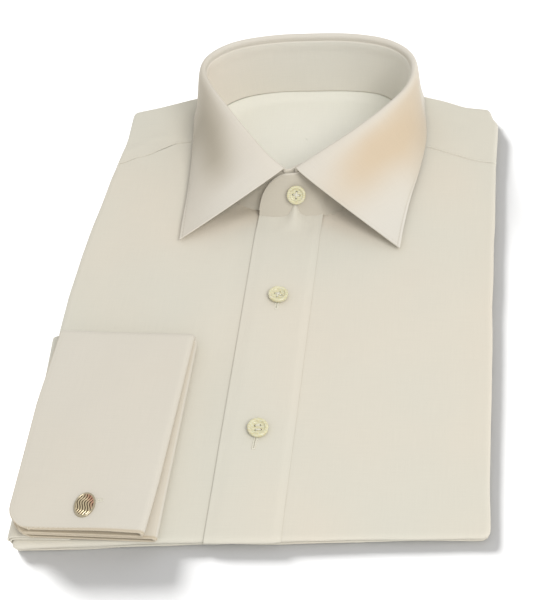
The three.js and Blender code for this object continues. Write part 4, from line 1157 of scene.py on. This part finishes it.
def cuff_part():
    T, p = CUFF["pair"], CUFF["ply"]
    foot, head = CUFF["foot"], CUFF["head"]
    stops = foot + both_ends(head - foot, 0.22, 2.6, 1.28)
    na = 15
    st_v = np.concatenate([stops, np.full(na, head), stops[::-1]])
    ang = np.concatenate([np.full(len(stops), -90.0), np.linspace(-90, 90, na + 2)[1:-1], np.full(len(stops), 90.0)])
    a = np.radians(ang)
    turn = np.where(ang <= -90, 0.0, np.where(ang >= 90, 1.0, a / np.pi + 0.5))
    lower = np.interp(st_v, CUFF_SIDE[:, 0], CUFF_SIDE[:, 3])
    upper = np.interp(st_v, CUFF_SIDE[:, 0], CUFF_SIDE[:, 2])
    fold = mix(lower, upper, turn)
    free = np.interp(st_v, CUFF_SIDE[:, 0], CUFF_SIDE[:, 1])
    d = st_v - foot
    c = CUFF["corner"]
    cut = np.where(d < c, c - np.sqrt(np.maximum(0, c * c - (c - d) ** 2)), 0)
    cut = np.minimum(cut, 12)
    cut_in = cut * 0.42
    # across: outer ply from its free edge to the fold, round it, and back along the inner ply
    wp = np.concatenate([[0, 0.004, 0.012, 0.024], np.linspace(0.05, 1, 26)])
    F_u, F_n, B_u, B_n = [], [], [], []
    R15 = 1.5
    for w in wp:
        end_f = fold - T / 2 * R15
        F_u.append(mix(free + cut, end_f, w)); F_n.append(np.full_like(fold, T))
        B_u.append(mix(free + cut, end_f, w)); B_n.append(np.full_like(fold, T - p))
    for th in np.linspace(math.pi / 2, -math.pi / 2, 17)[1:-1]:
        r0, r1 = T / 2, T / 2 - p
        F_u.append(fold - T / 2 * R15 + r0 * R15 * math.cos(th)); F_n.append(np.full_like(fold, T / 2 + r0 * math.sin(th)))
        B_u.append(fold - T / 2 * R15 + r1 * R15 * math.cos(th)); B_n.append(np.full_like(fold, T / 2 + r1 * math.sin(th)))
    for w in wp[::-1]:
        end_f = fold - T / 2 * R15
        fr = free + CUFF["back"] + cut_in
        F_u.append(mix(fr, end_f, w)); F_n.append(np.zeros_like(fold))
        B_u.append(mix(fr, end_f, w)); B_n.append(np.full_like(fold, p))
    F_u, F_n, B_u, B_n = [np.array(x).T for x in (F_u, F_n, B_u, B_n)]
    V = np.broadcast_to(st_v[:, None], F_u.shape)
    A = np.broadcast_to(a[:, None], F_u.shape)
    TU = np.broadcast_to(turn[:, None], F_u.shape)

    def put(u, n):
        # plies ease apart a little between the edges, press together at the link, and never lie dead flat
        x = np.clip((u - free[:, None]) / (fold - free)[:, None], 0, 1)
        y = np.clip((V - foot) / (head - foot), 0, 1)
        puff = 0.55 * np.sin(math.pi * x) ** 0.8 * np.sin(math.pi * (0.06 + 0.9 * y)) * (n / T - 0.25)
        link = -0.55 * np.exp(-0.5 * (((u - LINK["u"]) / 9.0) ** 2 + ((V - LINK["v"]) / 8.0) ** 2)) * (n / T)
        wave = (0.22 * np.sin(u / 14.0 + 0.6) * np.sin(V / 26.0 + 0.3) + 0.12 * np.sin(u / 7.0 - V / 15.0)) * np.clip(n / T, 0.1, 1)
        crease = 0.30 * np.exp(-0.5 * ((u + 70 + (V - 70) * 0.35) / 6.0) ** 2) * np.exp(-0.5 * ((V - 74) / 24.0) ** 2) * (n / T)
        tip = 0.9 * np.exp(-0.5 * (((u + 118) / 12.0) ** 2 + ((V - 1) / 12.0) ** 2)) * (n / T)
        m = np.where(TU > 0.5, 1.0, 0.35) * np.abs(np.sin(A))
        gape = 1.5 * np.exp(-0.5 * ((u + 66) / 17.0) ** 2) * np.exp(-0.5 * ((V - foot) / 10.0) ** 2)
        gape = gape * ss(n, p + 0.3, T - p) * (TU > 0.5)
        n2 = n + (puff + link + wave + crease) * m + tip * (TU > 0.5) * 0.5 + gape
        reach = CUFF["part"] / 2 + n2
        return place(u, V + reach * np.cos(A), cuff_mid(u, V) + reach * np.sin(A))
    F, B = put(F_u, F_n), put(B_u, B_n)
    arc_v = np.cumsum(np.concatenate([[0], np.linalg.norm(np.diff(F[:, 10], axis=0), axis=1)]))
    arc_u = np.cumsum(np.concatenate([[0], np.linalg.norm(np.diff(F[len(a) - 30], axis=0), axis=1)]))
    UV = np.stack(np.broadcast_arrays(arc_u[None], arc_v[:, None]), -1)
    return F, B, UV, free, fold, cut, st_v, wp


CF, CB, CUV, C_free, C_fold, C_cut, C_v, C_w = cuff_part()
p, q, w = sheet_parts(CF, CB, CUV, rim=0.5)
# painted shade on the cuff: its lower edge, the lower ply, and the undersides and rims are darker and warmer
face = np.zeros(CF.shape[:2])
low_edge = ss(-(C_v - CUFF["foot"]), -1.3, -0.1)[:, None] * np.ones_like(face)
col = np.arange(CF.shape[1])
inner_ply = (col > len(C_w) + 10)[None] * np.ones_like(face)
painted_shade_face = 0.20 * low_edge + 0.06 * inner_ply
painted_shade_back = 0.16 + 0.14 * low_edge
rest = np.zeros(len(p) - 2 * face.size)
cuff = make_object("cuff_right_cloth", p, q, w, MAT_CUFF, ["cuff_right"], attrs={
    "painted_shade": np.concatenate([painted_shade_face.ravel(), painted_shade_back.ravel(), rest + 0.16]),
    "warm": np.concatenate([0.9 * low_edge.ravel() + 0.3 * inner_ply.ravel(), 0.8 + 0 * face.ravel(), rest + 0.8])})
for ob in (front_right, front_left, yoke, back_inside, stand, fall, placket, layers, sleeve, cuff):
    fix_normals(ob)


# ------------------------------------------------------------------------------- threads
def lumps(centres, along_dir, up_dir, length, radius, arch=0.6, sides=6, sink=0.0):
    """Small rounded stitches as one mesh."""
    prof = np.array([(-0.5, 0.15), (-0.42, 0.72), (-0.2, 1.0), (0.2, 1.0), (0.42, 0.72), (0.5, 0.15)])
    n = len(centres)
    T = along_dir / np.linalg.norm(along_dir, axis=1)[:, None]
    N = up_dir / np.linalg.norm(up_dir, axis=1)[:, None]
    S = np.cross(N, T)
    S /= np.linalg.norm(S, axis=1)[:, None]
    L = np.broadcast_to(np.asarray(length, float), (n,))
    ang = np.linspace(0, 2 * np.pi, sides, endpoint=False)
    pts = []
    for x, r in prof:
        c = centres + T * (x * L)[:, None] + N * (radius * arch * (1 - (2 * x) ** 2) - sink)
        for g in ang:
            pts.append(c + S * (radius * r * math.cos(g)) + N * (radius * r * math.sin(g)))
    k = len(prof) * sides
    P = np.stack(pts, 1).reshape(-1, 3)
    quads = []
    for a in range(len(prof) - 1):
        for b in range(sides):
            c = (b + 1) % sides
            quads.append((a * sides + b, a * sides + c, (a + 1) * sides + c, (a + 1) * sides + b))
    quads = np.array(quads)
    caps = [tuple(range(sides - 1, -1, -1)), tuple((len(prof) - 1) * sides + i for i in range(sides))]
    base = (np.arange(n) * k)[:, None, None]
    Q = (quads[None] + base).reshape(-1, 4)
    fans = [tuple(int(i * k + j) for j in cap) for i in range(n) for cap in caps]
    return P, Q, fans


def thread_piece(name, groups, material):
    P, Q, Fn = [], [], []
    base = 0
    for p_, q_, f_ in groups:
        P.append(p_)
        Q.append(q_ + base)
        Fn += [tuple(i + base for i in f) for f in f_]
        base += len(p_)
    P, Q = np.concatenate(P), np.concatenate(Q)
    return make_object(name, P, Q, P[:, :2], material, fans=Fn)


def resample(points, normals, pitch, phase=0.5):
    s = np.concatenate([[0], np.cumsum(np.linalg.norm(np.diff(points, axis=0), axis=1))])
    count = max(1, int(s[-1] / pitch))
    q = (np.arange(count) + phase) * (s[-1] / count)
    P = np.stack([np.interp(q, s, points[:, k]) for k in range(3)], -1)
    N = np.stack([np.interp(q, s, normals[:, k]) for k in range(3)], -1)
    A = np.stack([np.interp(np.minimum(q + 0.6, s[-1]), s, points[:, k]) - np.interp(np.maximum(q - 0.6, 0), s, points[:, k]) for k in range(3)], -1)
    return P, N / np.linalg.norm(N, axis=1)[:, None], A


def row_of_stitches(points, normals, pitch=2.5, length=1.9, radius=0.13, sink=0.06):
    P, N, A = resample(points, normals, pitch)
    return lumps(P, A, N, length, radius, 0.5, 6, sink)


def grid_line(G, N, ri, ci):
    """Points and normals on a grid at fractional rows and columns."""
    ri, ci = np.broadcast_arrays(np.asarray(ri, float), np.asarray(ci, float))
    i = np.clip(np.floor(ri).astype(int), 0, G.shape[0] - 2)
    j = np.clip(np.floor(ci).astype(int), 0, G.shape[1] - 2)
    f, g = (ri - i)[:, None], (ci - j)[:, None]
    def at(A):
        return (A[i, j] * (1 - f) * (1 - g) + A[i + 1, j] * f * (1 - g) + A[i, j + 1] * (1 - f) * g + A[i + 1, j + 1] * f * g)
    return at(G), at(N)


def inset_column(G, inset, from_end=True):
    """Fractional column lying a given distance from the grid's last (or first) column, for each row."""
    X = G[:, ::-1] if from_end else G
    s = np.concatenate([np.zeros((len(X), 1)), np.cumsum(np.linalg.norm(np.diff(X, axis=1), axis=2), 1)], 1)
    c = np.array([np.interp(inset, s[i], np.arange(G.shape[1])) for i in range(len(X))])
    return G.shape[1] - 1 - c if from_end else c


groups = []
# collar fall: one row 1.6 mm inside its free edge and its two front edges
up = np.sign((FN * (FF - FB)).sum()) * FN
cc = inset_column(FF, 1.6)
rows_ = np.arange(len(FT), dtype=float)
inner_ok = (FT > 0.12) & (FT < 17.88)
P_, N_ = grid_line(FF, up, rows_[inner_ok], cc[inner_ok])
groups.append(row_of_stitches(P_, N_))
arcs = np.concatenate([[0], np.cumsum(np.linalg.norm(np.diff(FF[:, -6], axis=0), axis=1))])
for end in (0, 1):
    for_cols = np.arange(16, FF.shape[1] - 1, dtype=float)
    rr = []
    for c in for_cols:
        col = FF[:, int(c)]
        s = np.concatenate([[0], np.cumsum(np.linalg.norm(np.diff(col, axis=0), axis=1))])
        r = np.interp(1.6, s, rows_) if end == 0 else np.interp(s[-1] - 1.6, s, rows_)
        rr.append(r)
    keep = for_cols < cc[0 if end == 0 else -1]
    P_, N_ = grid_line(FF, up, np.array(rr)[keep], for_cols[keep])
    groups.append(row_of_stitches(P_, N_))
stitch_collar = thread_piece("collar_stitching", groups, MAT_THREAD)

# yoke seams
groups = []
for side in (-1, 1):
    u = np.linspace(-112.5, -70, 90) if side < 0 else np.linspace(76, 121.5, 90)
    v = (soft(seam_left, u) if side < 0 else soft(seam_right, u)) + 1.3
    P_ = skin(u, v, 0.15, extra=yoke_extra)
    N_ = np.broadcast_to(np.array([0, 0, 1.0]), P_.shape)
    groups.append(row_of_stitches(P_, N_, 2.3, 1.7, 0.12, 0.05))
stitch_yoke = thread_piece("yoke_stitching", groups, MAT_THREAD)

# cuff: one row inside the free edge and the foot of the outer ply
groups = []
cn = normals_of(CF)
cn = np.sign((cn * (CF - CB)).sum()) * cn
n_st = len(C_v)
top_rows = np.arange(n_st - 1, n_st // 2 + 10, -1, dtype=float)
side_c = inset_column(CF, 1.7, from_end=False)
s = np.concatenate([[0], np.cumsum(np.linalg.norm(np.diff(CF[::-1][:40, 20], axis=0), axis=1))])
foot_row = n_st - 1 - np.interp(1.7, s, np.arange(40))
cols_ = np.arange(2.0, 30.0, 0.5)
rows_foot = []
for c in cols_:
    col = CF[::-1][:60, int(round(c))]
    s = np.concatenate([[0], np.cumsum(np.linalg.norm(np.diff(col, axis=0), axis=1))])
    rows_foot.append(n_st - 1 - np.interp(1.7, s, np.arange(60)))
rows_foot = np.array(rows_foot)
keep_side = top_rows < rows_foot[0]
P1, N1 = grid_line(CF, cn, top_rows[keep_side], side_c[top_rows[keep_side].astype(int)])
P2, N2 = grid_line(CF, cn, rows_foot, cols_)
P_ = np.concatenate([P1[::-1], P2])
N_ = np.concatenate([N1[::-1], N2])
groups.append(row_of_stitches(P_, N_, 2.5, 1.9, 0.13, 0.05))
stitch_cuff = thread_piece("cuff_stitching", groups, MAT_THREAD)


# ------------------------------------------------------------------------------- buttonholes
def surface_z(u, v, off):
    return stack(np.asarray(u, float), np.asarray(v, float)) + off


def buttonhole(u0, v0, u1, v1, off, half=0.95, gap=0.22, pitch=0.34):
    length = math.hypot(u1 - u0, v1 - v0)
    n = int(length / pitch)
    t = (np.arange(n) + 0.5) / n
    du, dv = (u1 - u0) / length, (v1 - v0) / length
    out = []
    for sgn in (-1, 1):
        cu = u0 + (u1 - u0) * t - dv * sgn * (gap / 2 + half / 2)
        cv = v0 + (v1 - v0) * t + du * sgn * (gap / 2 + half / 2)
        wob = 0.03 * np.sin(np.arange(n) * 1.7 + sgn)
        P = place(cu, cv, surface_z(cu, cv, off) + 0.05)
        A = place(cu - dv, cv + du, 0) - place(cu, cv, 0)
        N = np.broadcast_to(np.array([0, 0, 1.0]), P.shape)
        out.append(lumps(P + N * wob[:, None], A, N, half + 0.1, 0.19, 0.5, 6, 0.02))
    for end in (0, 1):
        e = np.linspace(-1, 1, 5)
        cu = mix(u0, u1, end) - dv * e * 0.55
        cv = mix(v0, v1, end) + du * e * 0.55
        P = place(cu, cv, surface_z(cu, cv, off) + 0.10)
        A = place(cu + du, cv + dv, 0) - place(cu, cv, 0)
        N = np.broadcast_to(np.array([0, 0, 1.0]), P.shape)
        out.append(lumps(P, A, N, 1.3, 0.18, 0.4, 6, 0.0))
    return out


groups = []
slits = []
for name, bu, bv, below in BUTTONS:
    lean_u = -0.2 if name == "button_2" else -1.0
    groups += buttonhole(bu + 0.2, bv + 3.6, bu + lean_u, bv - below, 1.16)
    slits.append((bu + 0.2, bv + 3.6, bu + lean_u, bv - below))
holes_thread = thread_piece("buttonhole_stitching", groups, MAT_THREAD_PALE)


def slit_strip(items):
    """Painted shadow in each slit: a narrow dark sunk ribbon between its stitches."""
    parts = []
    for u0, v0, u1, v1 in items:
        t = np.linspace(0.03, 0.97, 24)
        cu, cv = mix(u0, u1, t), mix(v0, v1, t)
        wid = 0.16 * np.sin(np.pi * np.clip(t, 0.03, 0.97)) ** 0.3
        rowsu = np.stack([cu - wid, cu, cu + wid], 1)
        rowsv = np.stack([cv, cv, cv], 1)
        z = surface_z(rowsu, rowsv, 1.16) + np.array([0.06, 0.03, 0.06])[None]
        F = place(rowsu, rowsv, z)
        B = place(rowsu, rowsv, z - 0.15)
        parts.append(sheet_parts(F, B, np.stack([rowsu, rowsv], -1), rim=0.1))
    return join_parts(parts)


p, q, w = slit_strip(slits)
slit_lines = make_object("buttonhole_slit_shadows", p, q, w, MAT_SLIT_PAINTED_SHADOW)
fix_normals(slit_lines)


# ------------------------------------------------------------------------------- buttons
def lathe(profile, seg=72):
    prof = np.array(profile, float)
    a = np.linspace(0, 2 * np.pi, seg, endpoint=False)
    pts, faces = [], []
    rings = []
    for r, z in prof:
        if r < 1e-6:
            rings.append([len(pts)])
            pts.append((0, 0, z))
        else:
            rings.append(list(range(len(pts), len(pts) + seg)))
            pts += [(r * math.cos(x), r * math.sin(x), z) for x in a]
    for A, B in zip(rings[:-1], rings[1:]):
        for i in range(seg):
            j = (i + 1) % seg
            if len(A) == 1:
                faces.append((A[0], B[j], B[i]))
            elif len(B) == 1:
                faces.append((A[i], A[j], B[0]))
            else:
                faces.append((A[i], A[j], B[j], B[i]))
    return pts, faces


def plain_object(name, pts, faces):
    me = bpy.data.meshes.new(name)
    me.from_pydata([tuple(float(c) * MM for c in p) for p in pts], [], faces)
    me.update()
    ob = bpy.data.objects.new(name, me)
    bpy.context.scene.collection.objects.link(ob)
    return ob


def arc_points(cx, cz, r, a0, a1, n):
    return [(cx + r * math.cos(math.radians(a)), cz + r * math.sin(math.radians(a))) for a in np.linspace(a0, a1, n)]


def button_mesh():
    R = 5.7
    prof = [(0, 0.05), (3.2, 0.02), (4.6, 0.12)]
    prof += arc_points(R - 0.9, 0.95, 0.9, -70, 0, 7)
    prof += arc_points(R - 0.62, 1.88, 0.62, 0, 90, 8)
    prof += arc_points(R - 1.25, 1.95, 0.55, 90, 160, 6)
    prof += [(3.62, 1.70), (3.40, 1.58), (3.0, 1.52), (2.2, 1.50), (1.0, 1.50), (0, 1.50)]
    pts, faces = lathe(prof, 80)
    body = plain_object("button_tmp", pts, faces)
    cutters = []
    h = 1.35
    for x, y in ((h, h), (-h, h), (-h, -h), (h, -h)):
        cp, cf = lathe([(0, -1), (0.62, -1), (0.62, 1.30), (0.68, 1.44), (0.82, 1.56), (0.92, 3.0), (0, 3.0)], 24)
        cut = plain_object("cut_tmp", [(a + x, b + y, c) for a, b, c in cp], cf)
        cutters.append(cut)
        fix_normals(cut)
    fix_normals(body)
    for cut in cutters:
        mod = body.modifiers.new("cut", "BOOLEAN")
        mod.operation = "DIFFERENCE"
        mod.solver = "EXACT"
        mod.object = cut
    dg = bpy.context.evaluated_depsgraph_get()
    me = bpy.data.meshes.new_from_object(body.evaluated_get(dg))
    for ob in cutters + [body]:
        bpy.data.objects.remove(ob)
    me.polygons.foreach_set("use_smooth", np.ones(len(me.polygons), bool))
    me.set_sharp_from_angle(angle=math.radians(38))
    return me


BUTTON_MESH = button_mesh()


def button_threads(bars):
    """Threads through the four holes, three to a bar, with a small shank below."""
    out = []
    h = 1.35
    for (x0, y0), (x1, y1) in bars:
        a, b = np.array([x0, y0, 1.5]) * [h, h, 1], np.array([x1, y1, 1.5]) * [h, h, 1]
        d = (b - a) / np.linalg.norm(b - a)
        side = np.array([-d[1], d[0], 0])
        for k in (-1, 0, 1):
            t = np.linspace(-0.05, 1.05, 12)
            line = a + (b - a) * t[:, None] + side * k * 0.24
            line[:, 2] = 1.05 + 0.80 * np.sin(np.pi * np.clip(t, 0, 1)) ** 0.45 + (0.12 if k == 0 else 0)
            out.append(tube(line, 0.19, 7))
    t = np.linspace(0, 1, 8)
    line = np.stack([0.1 * np.sin(t * 6), 0.1 * np.cos(t * 6), mix(0.3, -0.9, t)], -1)
    out.append(tube(line, 0.9, 12))
    return out


def tube(line, radius, sides=8):
    line = np.asarray(line, float)
    n = len(line)
    T = np.gradient(line, axis=0)
    T /= np.linalg.norm(T, axis=1)[:, None]
    ref = np.array([0.0, 0.0, 1.0])
    if abs(T[n // 2] @ ref) > 0.9:
        ref = np.array([1.0, 0.0, 0.0])
    S = np.cross(ref, T)
    S /= np.linalg.norm(S, axis=1)[:, None]
    N = np.cross(T, S)
    ang = np.linspace(0, 2 * np.pi, sides, endpoint=False)
    P = (line[:, None] + radius * (S[:, None] * np.cos(ang)[None, :, None] + N[:, None] * np.sin(ang)[None, :, None])).reshape(-1, 3)
    Q = []
    for i in range(n - 1):
        for j in range(sides):
            k = (j + 1) % sides
            Q.append((i * sides + j, i * sides + k, (i + 1) * sides + k, (i + 1) * sides + j))
    fans = [tuple(range(sides - 1, -1, -1)), tuple((n - 1) * sides + i for i in range(sides))]
    return P, np.array(Q), fans


def put_button(name, node_name, at, turn, bars, spin):
    """at in mm in the part frame; turn is a matrix."""
    me = BUTTON_MESH.copy()
    m = Matrix.Translation(Vector(at) * MM) @ turn.to_4x4() @ Matrix.Rotation(spin, 4, "Z")
    me.transform(m)
    ob = bpy.data.objects.new(name + "_resin", me)
    bpy.context.scene.collection.objects.link(ob)
    me.materials.clear()
    me.materials.append(MAT_BUTTON)
    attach(ob, "root")
    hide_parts(node_name)
    th = thread_piece(name + "_thread", button_threads(bars), MAT_THREAD_PALE)
    th.data.transform(m)
    return ob


FLAT = [(((-1, 1)), ((1, 1))), ((-1, -1), (1, -1))]
CROSS = [((-1, 1), (1, -1)), ((1, 1), (-1, -1))]
for name, bu, bv, _ in BUTTONS:
    z = float(surface_z(bu, bv, 1.16)) + 0.45
    at = place(bu, bv, z)
    tilt = Matrix.Rotation(math.radians(2.5 if name == "button_3" else -3.0), 3, "X") @ Matrix.Rotation(math.radians(2.0), 3, "Y")
    put_button(name, name, at, tilt, FLAT if name == "button_3" else CROSS, math.radians(8 if name == "button_3" else 24))

row = COLLAR[-1]
HB = float(stack(row[0], row[1]) - relief(row[0], row[1]))
rise = row[4] - 4.8 - HB - 1.0 - 0.9
backward = row[3] + 1.3 - row[1]
lean = math.atan2(backward, rise)
HT = float(stack(3.4, row[1]) - relief(3.4, row[1]))
centre = place(3.4, row[1] + backward * 0.5 - 1.2, HT + 1.9 + rise * 0.5)
centre = centre + np.array([0, -math.cos(lean), math.sin(lean)]) * (0.85 + 0.45)
put_button("button_collar", "button_collar", centre, Matrix.Rotation(math.pi / 2 - lean, 3, "X"), CROSS, math.radians(38))


# ------------------------------------------------------------------------------- cufflink
def link_head():
    a, b = LINK["wide"] / 2, LINK["long"] / 2
    seg = 200
    th = np.linspace(0, 2 * np.pi, seg, endpoint=False)
    prof = [(0.30, 0.30), (0.80, 0.32), (0.93, 0.45), (0.985, 0.80), (1.0, 1.25), (0.99, 1.62), (0.965, 1.86), (0.935, 1.95), (0.90, 1.93), (0.875, 1.80)]
    top = np.linspace(0.86, 0.0, 62)
    rings_s = np.concatenate([[p[0] for p in prof], top[:-1]])
    X = a * rings_s[:, None] * np.cos(th)[None]
    Y = b * rings_s[:, None] * np.sin(th)[None]
    s2 = np.broadcast_to(rings_s[:, None], X.shape)
    Z = np.zeros_like(X)
    groove_and_painted_shade = np.zeros_like(X)
    for i, (sv, z) in enumerate(prof):
        Z[i] = z
    k = len(prof)
    # waves run along the oval: eight rounded ribs with dark channels between
    x, y = X[k:], Y[k:]
    phase = (x + 0.70 * np.sin(2 * np.pi * (y / 7.6 + 0.12))) / 1.36
    rib = np.abs(np.cos(np.pi * phase)) ** 0.8
    dome = 1.66 + 0.62 * (1 - s2[k:] ** 2)
    edge = ss(0.86 - s2[k:], 0.0, 0.05)
    Z[k:] = dome + 0.40 * (rib - 0.55) * edge
    groove_and_painted_shade[k:] = ss(0.74 - rib, 0.0, 0.16) * edge
    # painted shade: the lower-left part of the head is darkened through the same mask as the dark channels
    lower = ss(-(y / b) - 0.45, 0, 0.4) * ss(-(x / a) + 0.3, 0, 0.5)
    groove_and_painted_shade[k:] = np.clip(groove_and_painted_shade[k:] + 0.35 * lower * edge, 0, 1)
    rim = np.zeros_like(X)
    rim[3:k + 1] = 1.0
    # painted reflection: a rose tint fades in over the upper-right half of the head
    rose_painted_reflection = ss((X / a + Y / b) * 0.5, 0.12, 0.55) * (1 - rim)
    P = np.stack([X, Y, Z], -1).reshape(-1, 3)
    R = len(rings_s)
    idx = np.arange(R * seg).reshape(R, seg)
    nx = np.roll(idx, -1, 1)
    quads = np.stack([idx[:-1], nx[:-1], nx[1:], idx[1:]], -1).reshape(-1, 4)
    centre = len(P)
    P = np.vstack([P, [[0, 0, 1.66 + 0.62 + 0.1]]])
    fans = [(int(idx[-1, j]), int(nx[-1, j]), centre) for j in range(seg)] + [tuple(int(i) for i in idx[0][::-1])]
    g = np.concatenate([groove_and_painted_shade.ravel(), [0.0]])
    r = np.concatenate([rose_painted_reflection.ravel(), [0.0]])
    rm = np.concatenate([rim.ravel(), [0.0]])
    return P, quads, fans, g, r, rm


link_top = float(cuff_mid(np.array(LINK["u"]), np.array(LINK["v"]))) + CUFF["part"] / 2 + CUFF["pair"]
link_foot = float(cuff_base(np.array(LINK["u"]), np.array(LINK["v"])))
lift = link_top - 0.42
P, Q, fans, g, r, rm = link_head()
turn = Matrix.Translation(Vector(place(LINK["u"], LINK["v"], lift)) * MM) @ Matrix.Rotation(math.radians(LINK["turn"]), 4, "Z")
head = make_object("cufflink_head", P, Q, P[:, :2], MAT_LINK, ["cufflink"], attrs={"groove_and_painted_shade": g, "rose_painted_reflection": r, "rim": rm}, fans=fans, sharp=50)
fix_normals(head)
head.data.transform(turn)

zl = link_foot - lift - 0.1
pp = [(0, 0.9), (1.3, 0.9), (1.3, 0.5), (1.22, 0.3), (1.22, zl + 0.5), (1.5, zl + 0.2), (1.5, zl - 0.35), (0, zl - 0.35)]
pts, faces = lathe(pp[::-1], 32)
parts_p, parts_f = list(pts), list(faces)
post = make_object("cufflink_post", np.array(parts_p), np.array([f for f in faces if len(f) == 4]), np.array(parts_p)[:, :2], MAT_LINK, fans=[f for f in faces if len(f) == 3], sharp=35)
fix_normals(post)
post.data.transform(turn)


def toggle_mesh():
    L, W, T = 15.0, 4.4, 1.5
    seg = 64
    th = np.linspace(0, 2 * np.pi, seg, endpoint=False)
    lv = [(0.62, 0.0), (0.84, 0.06), (0.95, 0.22), (1.0, 0.5), (1.0, T - 0.5), (0.95, T - 0.22), (0.84, T - 0.06), (0.62, T)]
    P = []
    for s, z in lv:
        c, sn = np.cos(th), np.sin(th)
        e = 0.62   # a rounded bar rather than an ellipse
        x = np.sign(c) * np.abs(c) ** e * W / 2 * s
        y = np.sign(sn) * np.abs(sn) ** (e + 0.2) * (L / 2 - W / 2 * (1 - s) * 0.6) * (0.94 + 0.06 * s)
        P += list(zip(x, y, np.full(seg, z)))
    P = np.array(P)
    idx = np.arange(len(P)).reshape(len(lv), seg)
    nx = np.roll(idx, -1, 1)
    quads = np.stack([idx[:-1], nx[:-1], nx[1:], idx[1:]], -1).reshape(-1, 4)
    fans = [tuple(int(i) for i in idx[0][::-1]), tuple(int(i) for i in idx[-1])]
    return P, quads, fans


P, Q, fans = toggle_mesh()
bar = make_object("cufflink_toggle_bar", P, Q, P[:, :2], MAT_LINK, ["cufflink_toggle"], fans=fans, sharp=50)
fix_normals(bar)
bar.data.transform(Matrix.Translation(Vector(place(LINK["u"], LINK["v"], link_foot - 0.5 - 1.5)) * MM) @ Matrix.Rotation(math.radians(LINK["turn"]), 4, "Z"))

# buttonhole of the cuff, its end just clear of the link's head
def cuff_top(u, v):
    """Height of the cuff's upper face, read from its own mesh."""
    k = CF.shape[0] // 2 + 12
    G = CF[k:, :30].reshape(-1, 3)
    x, y = place(u, v, 0)[..., 0].ravel(), place(u, v, 0)[..., 1].ravel()
    d = (G[None, :, 0] - x[:, None]) ** 2 + (G[None, :, 1] - y[:, None]) ** 2
    j = np.argpartition(d, 6, axis=1)[:, :6]
    w = 1 / (np.take_along_axis(d, j, 1) + 0.05)
    return ((G[j, 2] * w).sum(1) / w.sum(1)).reshape(np.shape(u))


def cuff_buttonhole():
    u0, u1, v0, v1 = LINK["u"] - 4.0, LINK["u"] + 8.8, LINK["v"] + 0.6, LINK["v"] + 3.6
    length = math.hypot(u1 - u0, v1 - v0)
    n = int(length / 0.36)
    t = (np.arange(n) + 0.5) / n
    du, dv = (u1 - u0) / length, (v1 - v0) / length
    out = []
    for sgn in (-1, 1):
        cu = u0 + (u1 - u0) * t - dv * sgn * 0.58
        cv = v0 + (v1 - v0) * t + du * sgn * 0.58
        P = place(cu, cv, cuff_top(cu, cv) + 0.04)
        A = place(cu - dv, cv + du, 0) - place(cu, cv, 0)
        N = np.broadcast_to(np.array([0, 0, 1.0]), P.shape)
        out.append(lumps(P, A, N, 1.0, 0.19, 0.5, 6, 0.02))
    return out


cuff_hole = thread_piece("cuff_buttonhole_stitching", cuff_buttonhole(), MAT_THREAD_PALE)

# ------------------------------------------------------------------------------- floor and light
floor_me = bpy.data.meshes.new("floor")
floor_me.from_pydata([(-6, -6, -0.0001), (6, -6, -0.0001), (6, 6, -0.0001), (-6, 6, -0.0001)], [], [(0, 1, 2, 3)])
floor = bpy.data.objects.new("floor", floor_me)
bpy.context.scene.collection.objects.link(floor)
fm = Mat("floor_paper")
tcf = node(fm.nt, "ShaderNodeTexCoord")
fm.link(fm.mixc(fm.noise(tcf.outputs["Object"], 3.0, 2.0), (0.66, 0.66, 0.66), (0.666, 0.666, 0.666)), fm.bsdf.inputs["Base Color"])
fm.bsdf.inputs["Roughness"].default_value = 0.9
fm.bsdf.inputs["Specular IOR Level"].default_value = 0.1
floor_me.materials.append(fm.m)

world = bpy.data.worlds.new("studio")
bpy.context.scene.world = world
world.use_nodes = True
world.node_tree.nodes["Background"].inputs[0].default_value = (1.0, 0.995, 0.985, 1)
world.node_tree.nodes["Background"].inputs[1].default_value = 0.82
bpy.context.scene.view_settings.view_transform = "Standard"


def area_light(name, at, to, size, energy, colour=(1, 1, 1)):
    li = bpy.data.lights.new(name, "AREA")
    li.shape = "DISK"
    li.size = size
    li.energy = energy
    li.color = colour
    ob = bpy.data.objects.new(name, li)
    bpy.context.scene.collection.objects.link(ob)
    ob.location = Vector(at)
    ob.rotation_mode = "QUATERNION"
    ob.rotation_quaternion = (Vector(to) - Vector(at)).to_track_quat("-Z", "Y")
    return ob


key = area_light("key", (0.80, -0.75, 1.45), (0.0, 0.0, 0.0), 0.9, 14.0, (1.0, 0.985, 0.96))
sun = bpy.data.lights.new("floor_light", "SUN")
sun.energy, sun.angle = 10.0, math.radians(24)
low = bpy.data.objects.new("floor_light", sun)
bpy.context.scene.collection.objects.link(low)
low.rotation_mode = "QUATERNION"
low.rotation_quaternion = Vector((0.95, -1.05, -0.64)).to_track_quat("-Z", "Y")
on_cloth = bpy.data.collections.new("lit_garment")
on_floor = bpy.data.collections.new("lit_floor")
for ob in list(bpy.context.scene.objects):
    if ob.type == "MESH":
        (on_floor if ob is floor else on_cloth).objects.link(ob)
key.light_linking.receiver_collection = on_cloth
low.light_linking.receiver_collection = on_floor
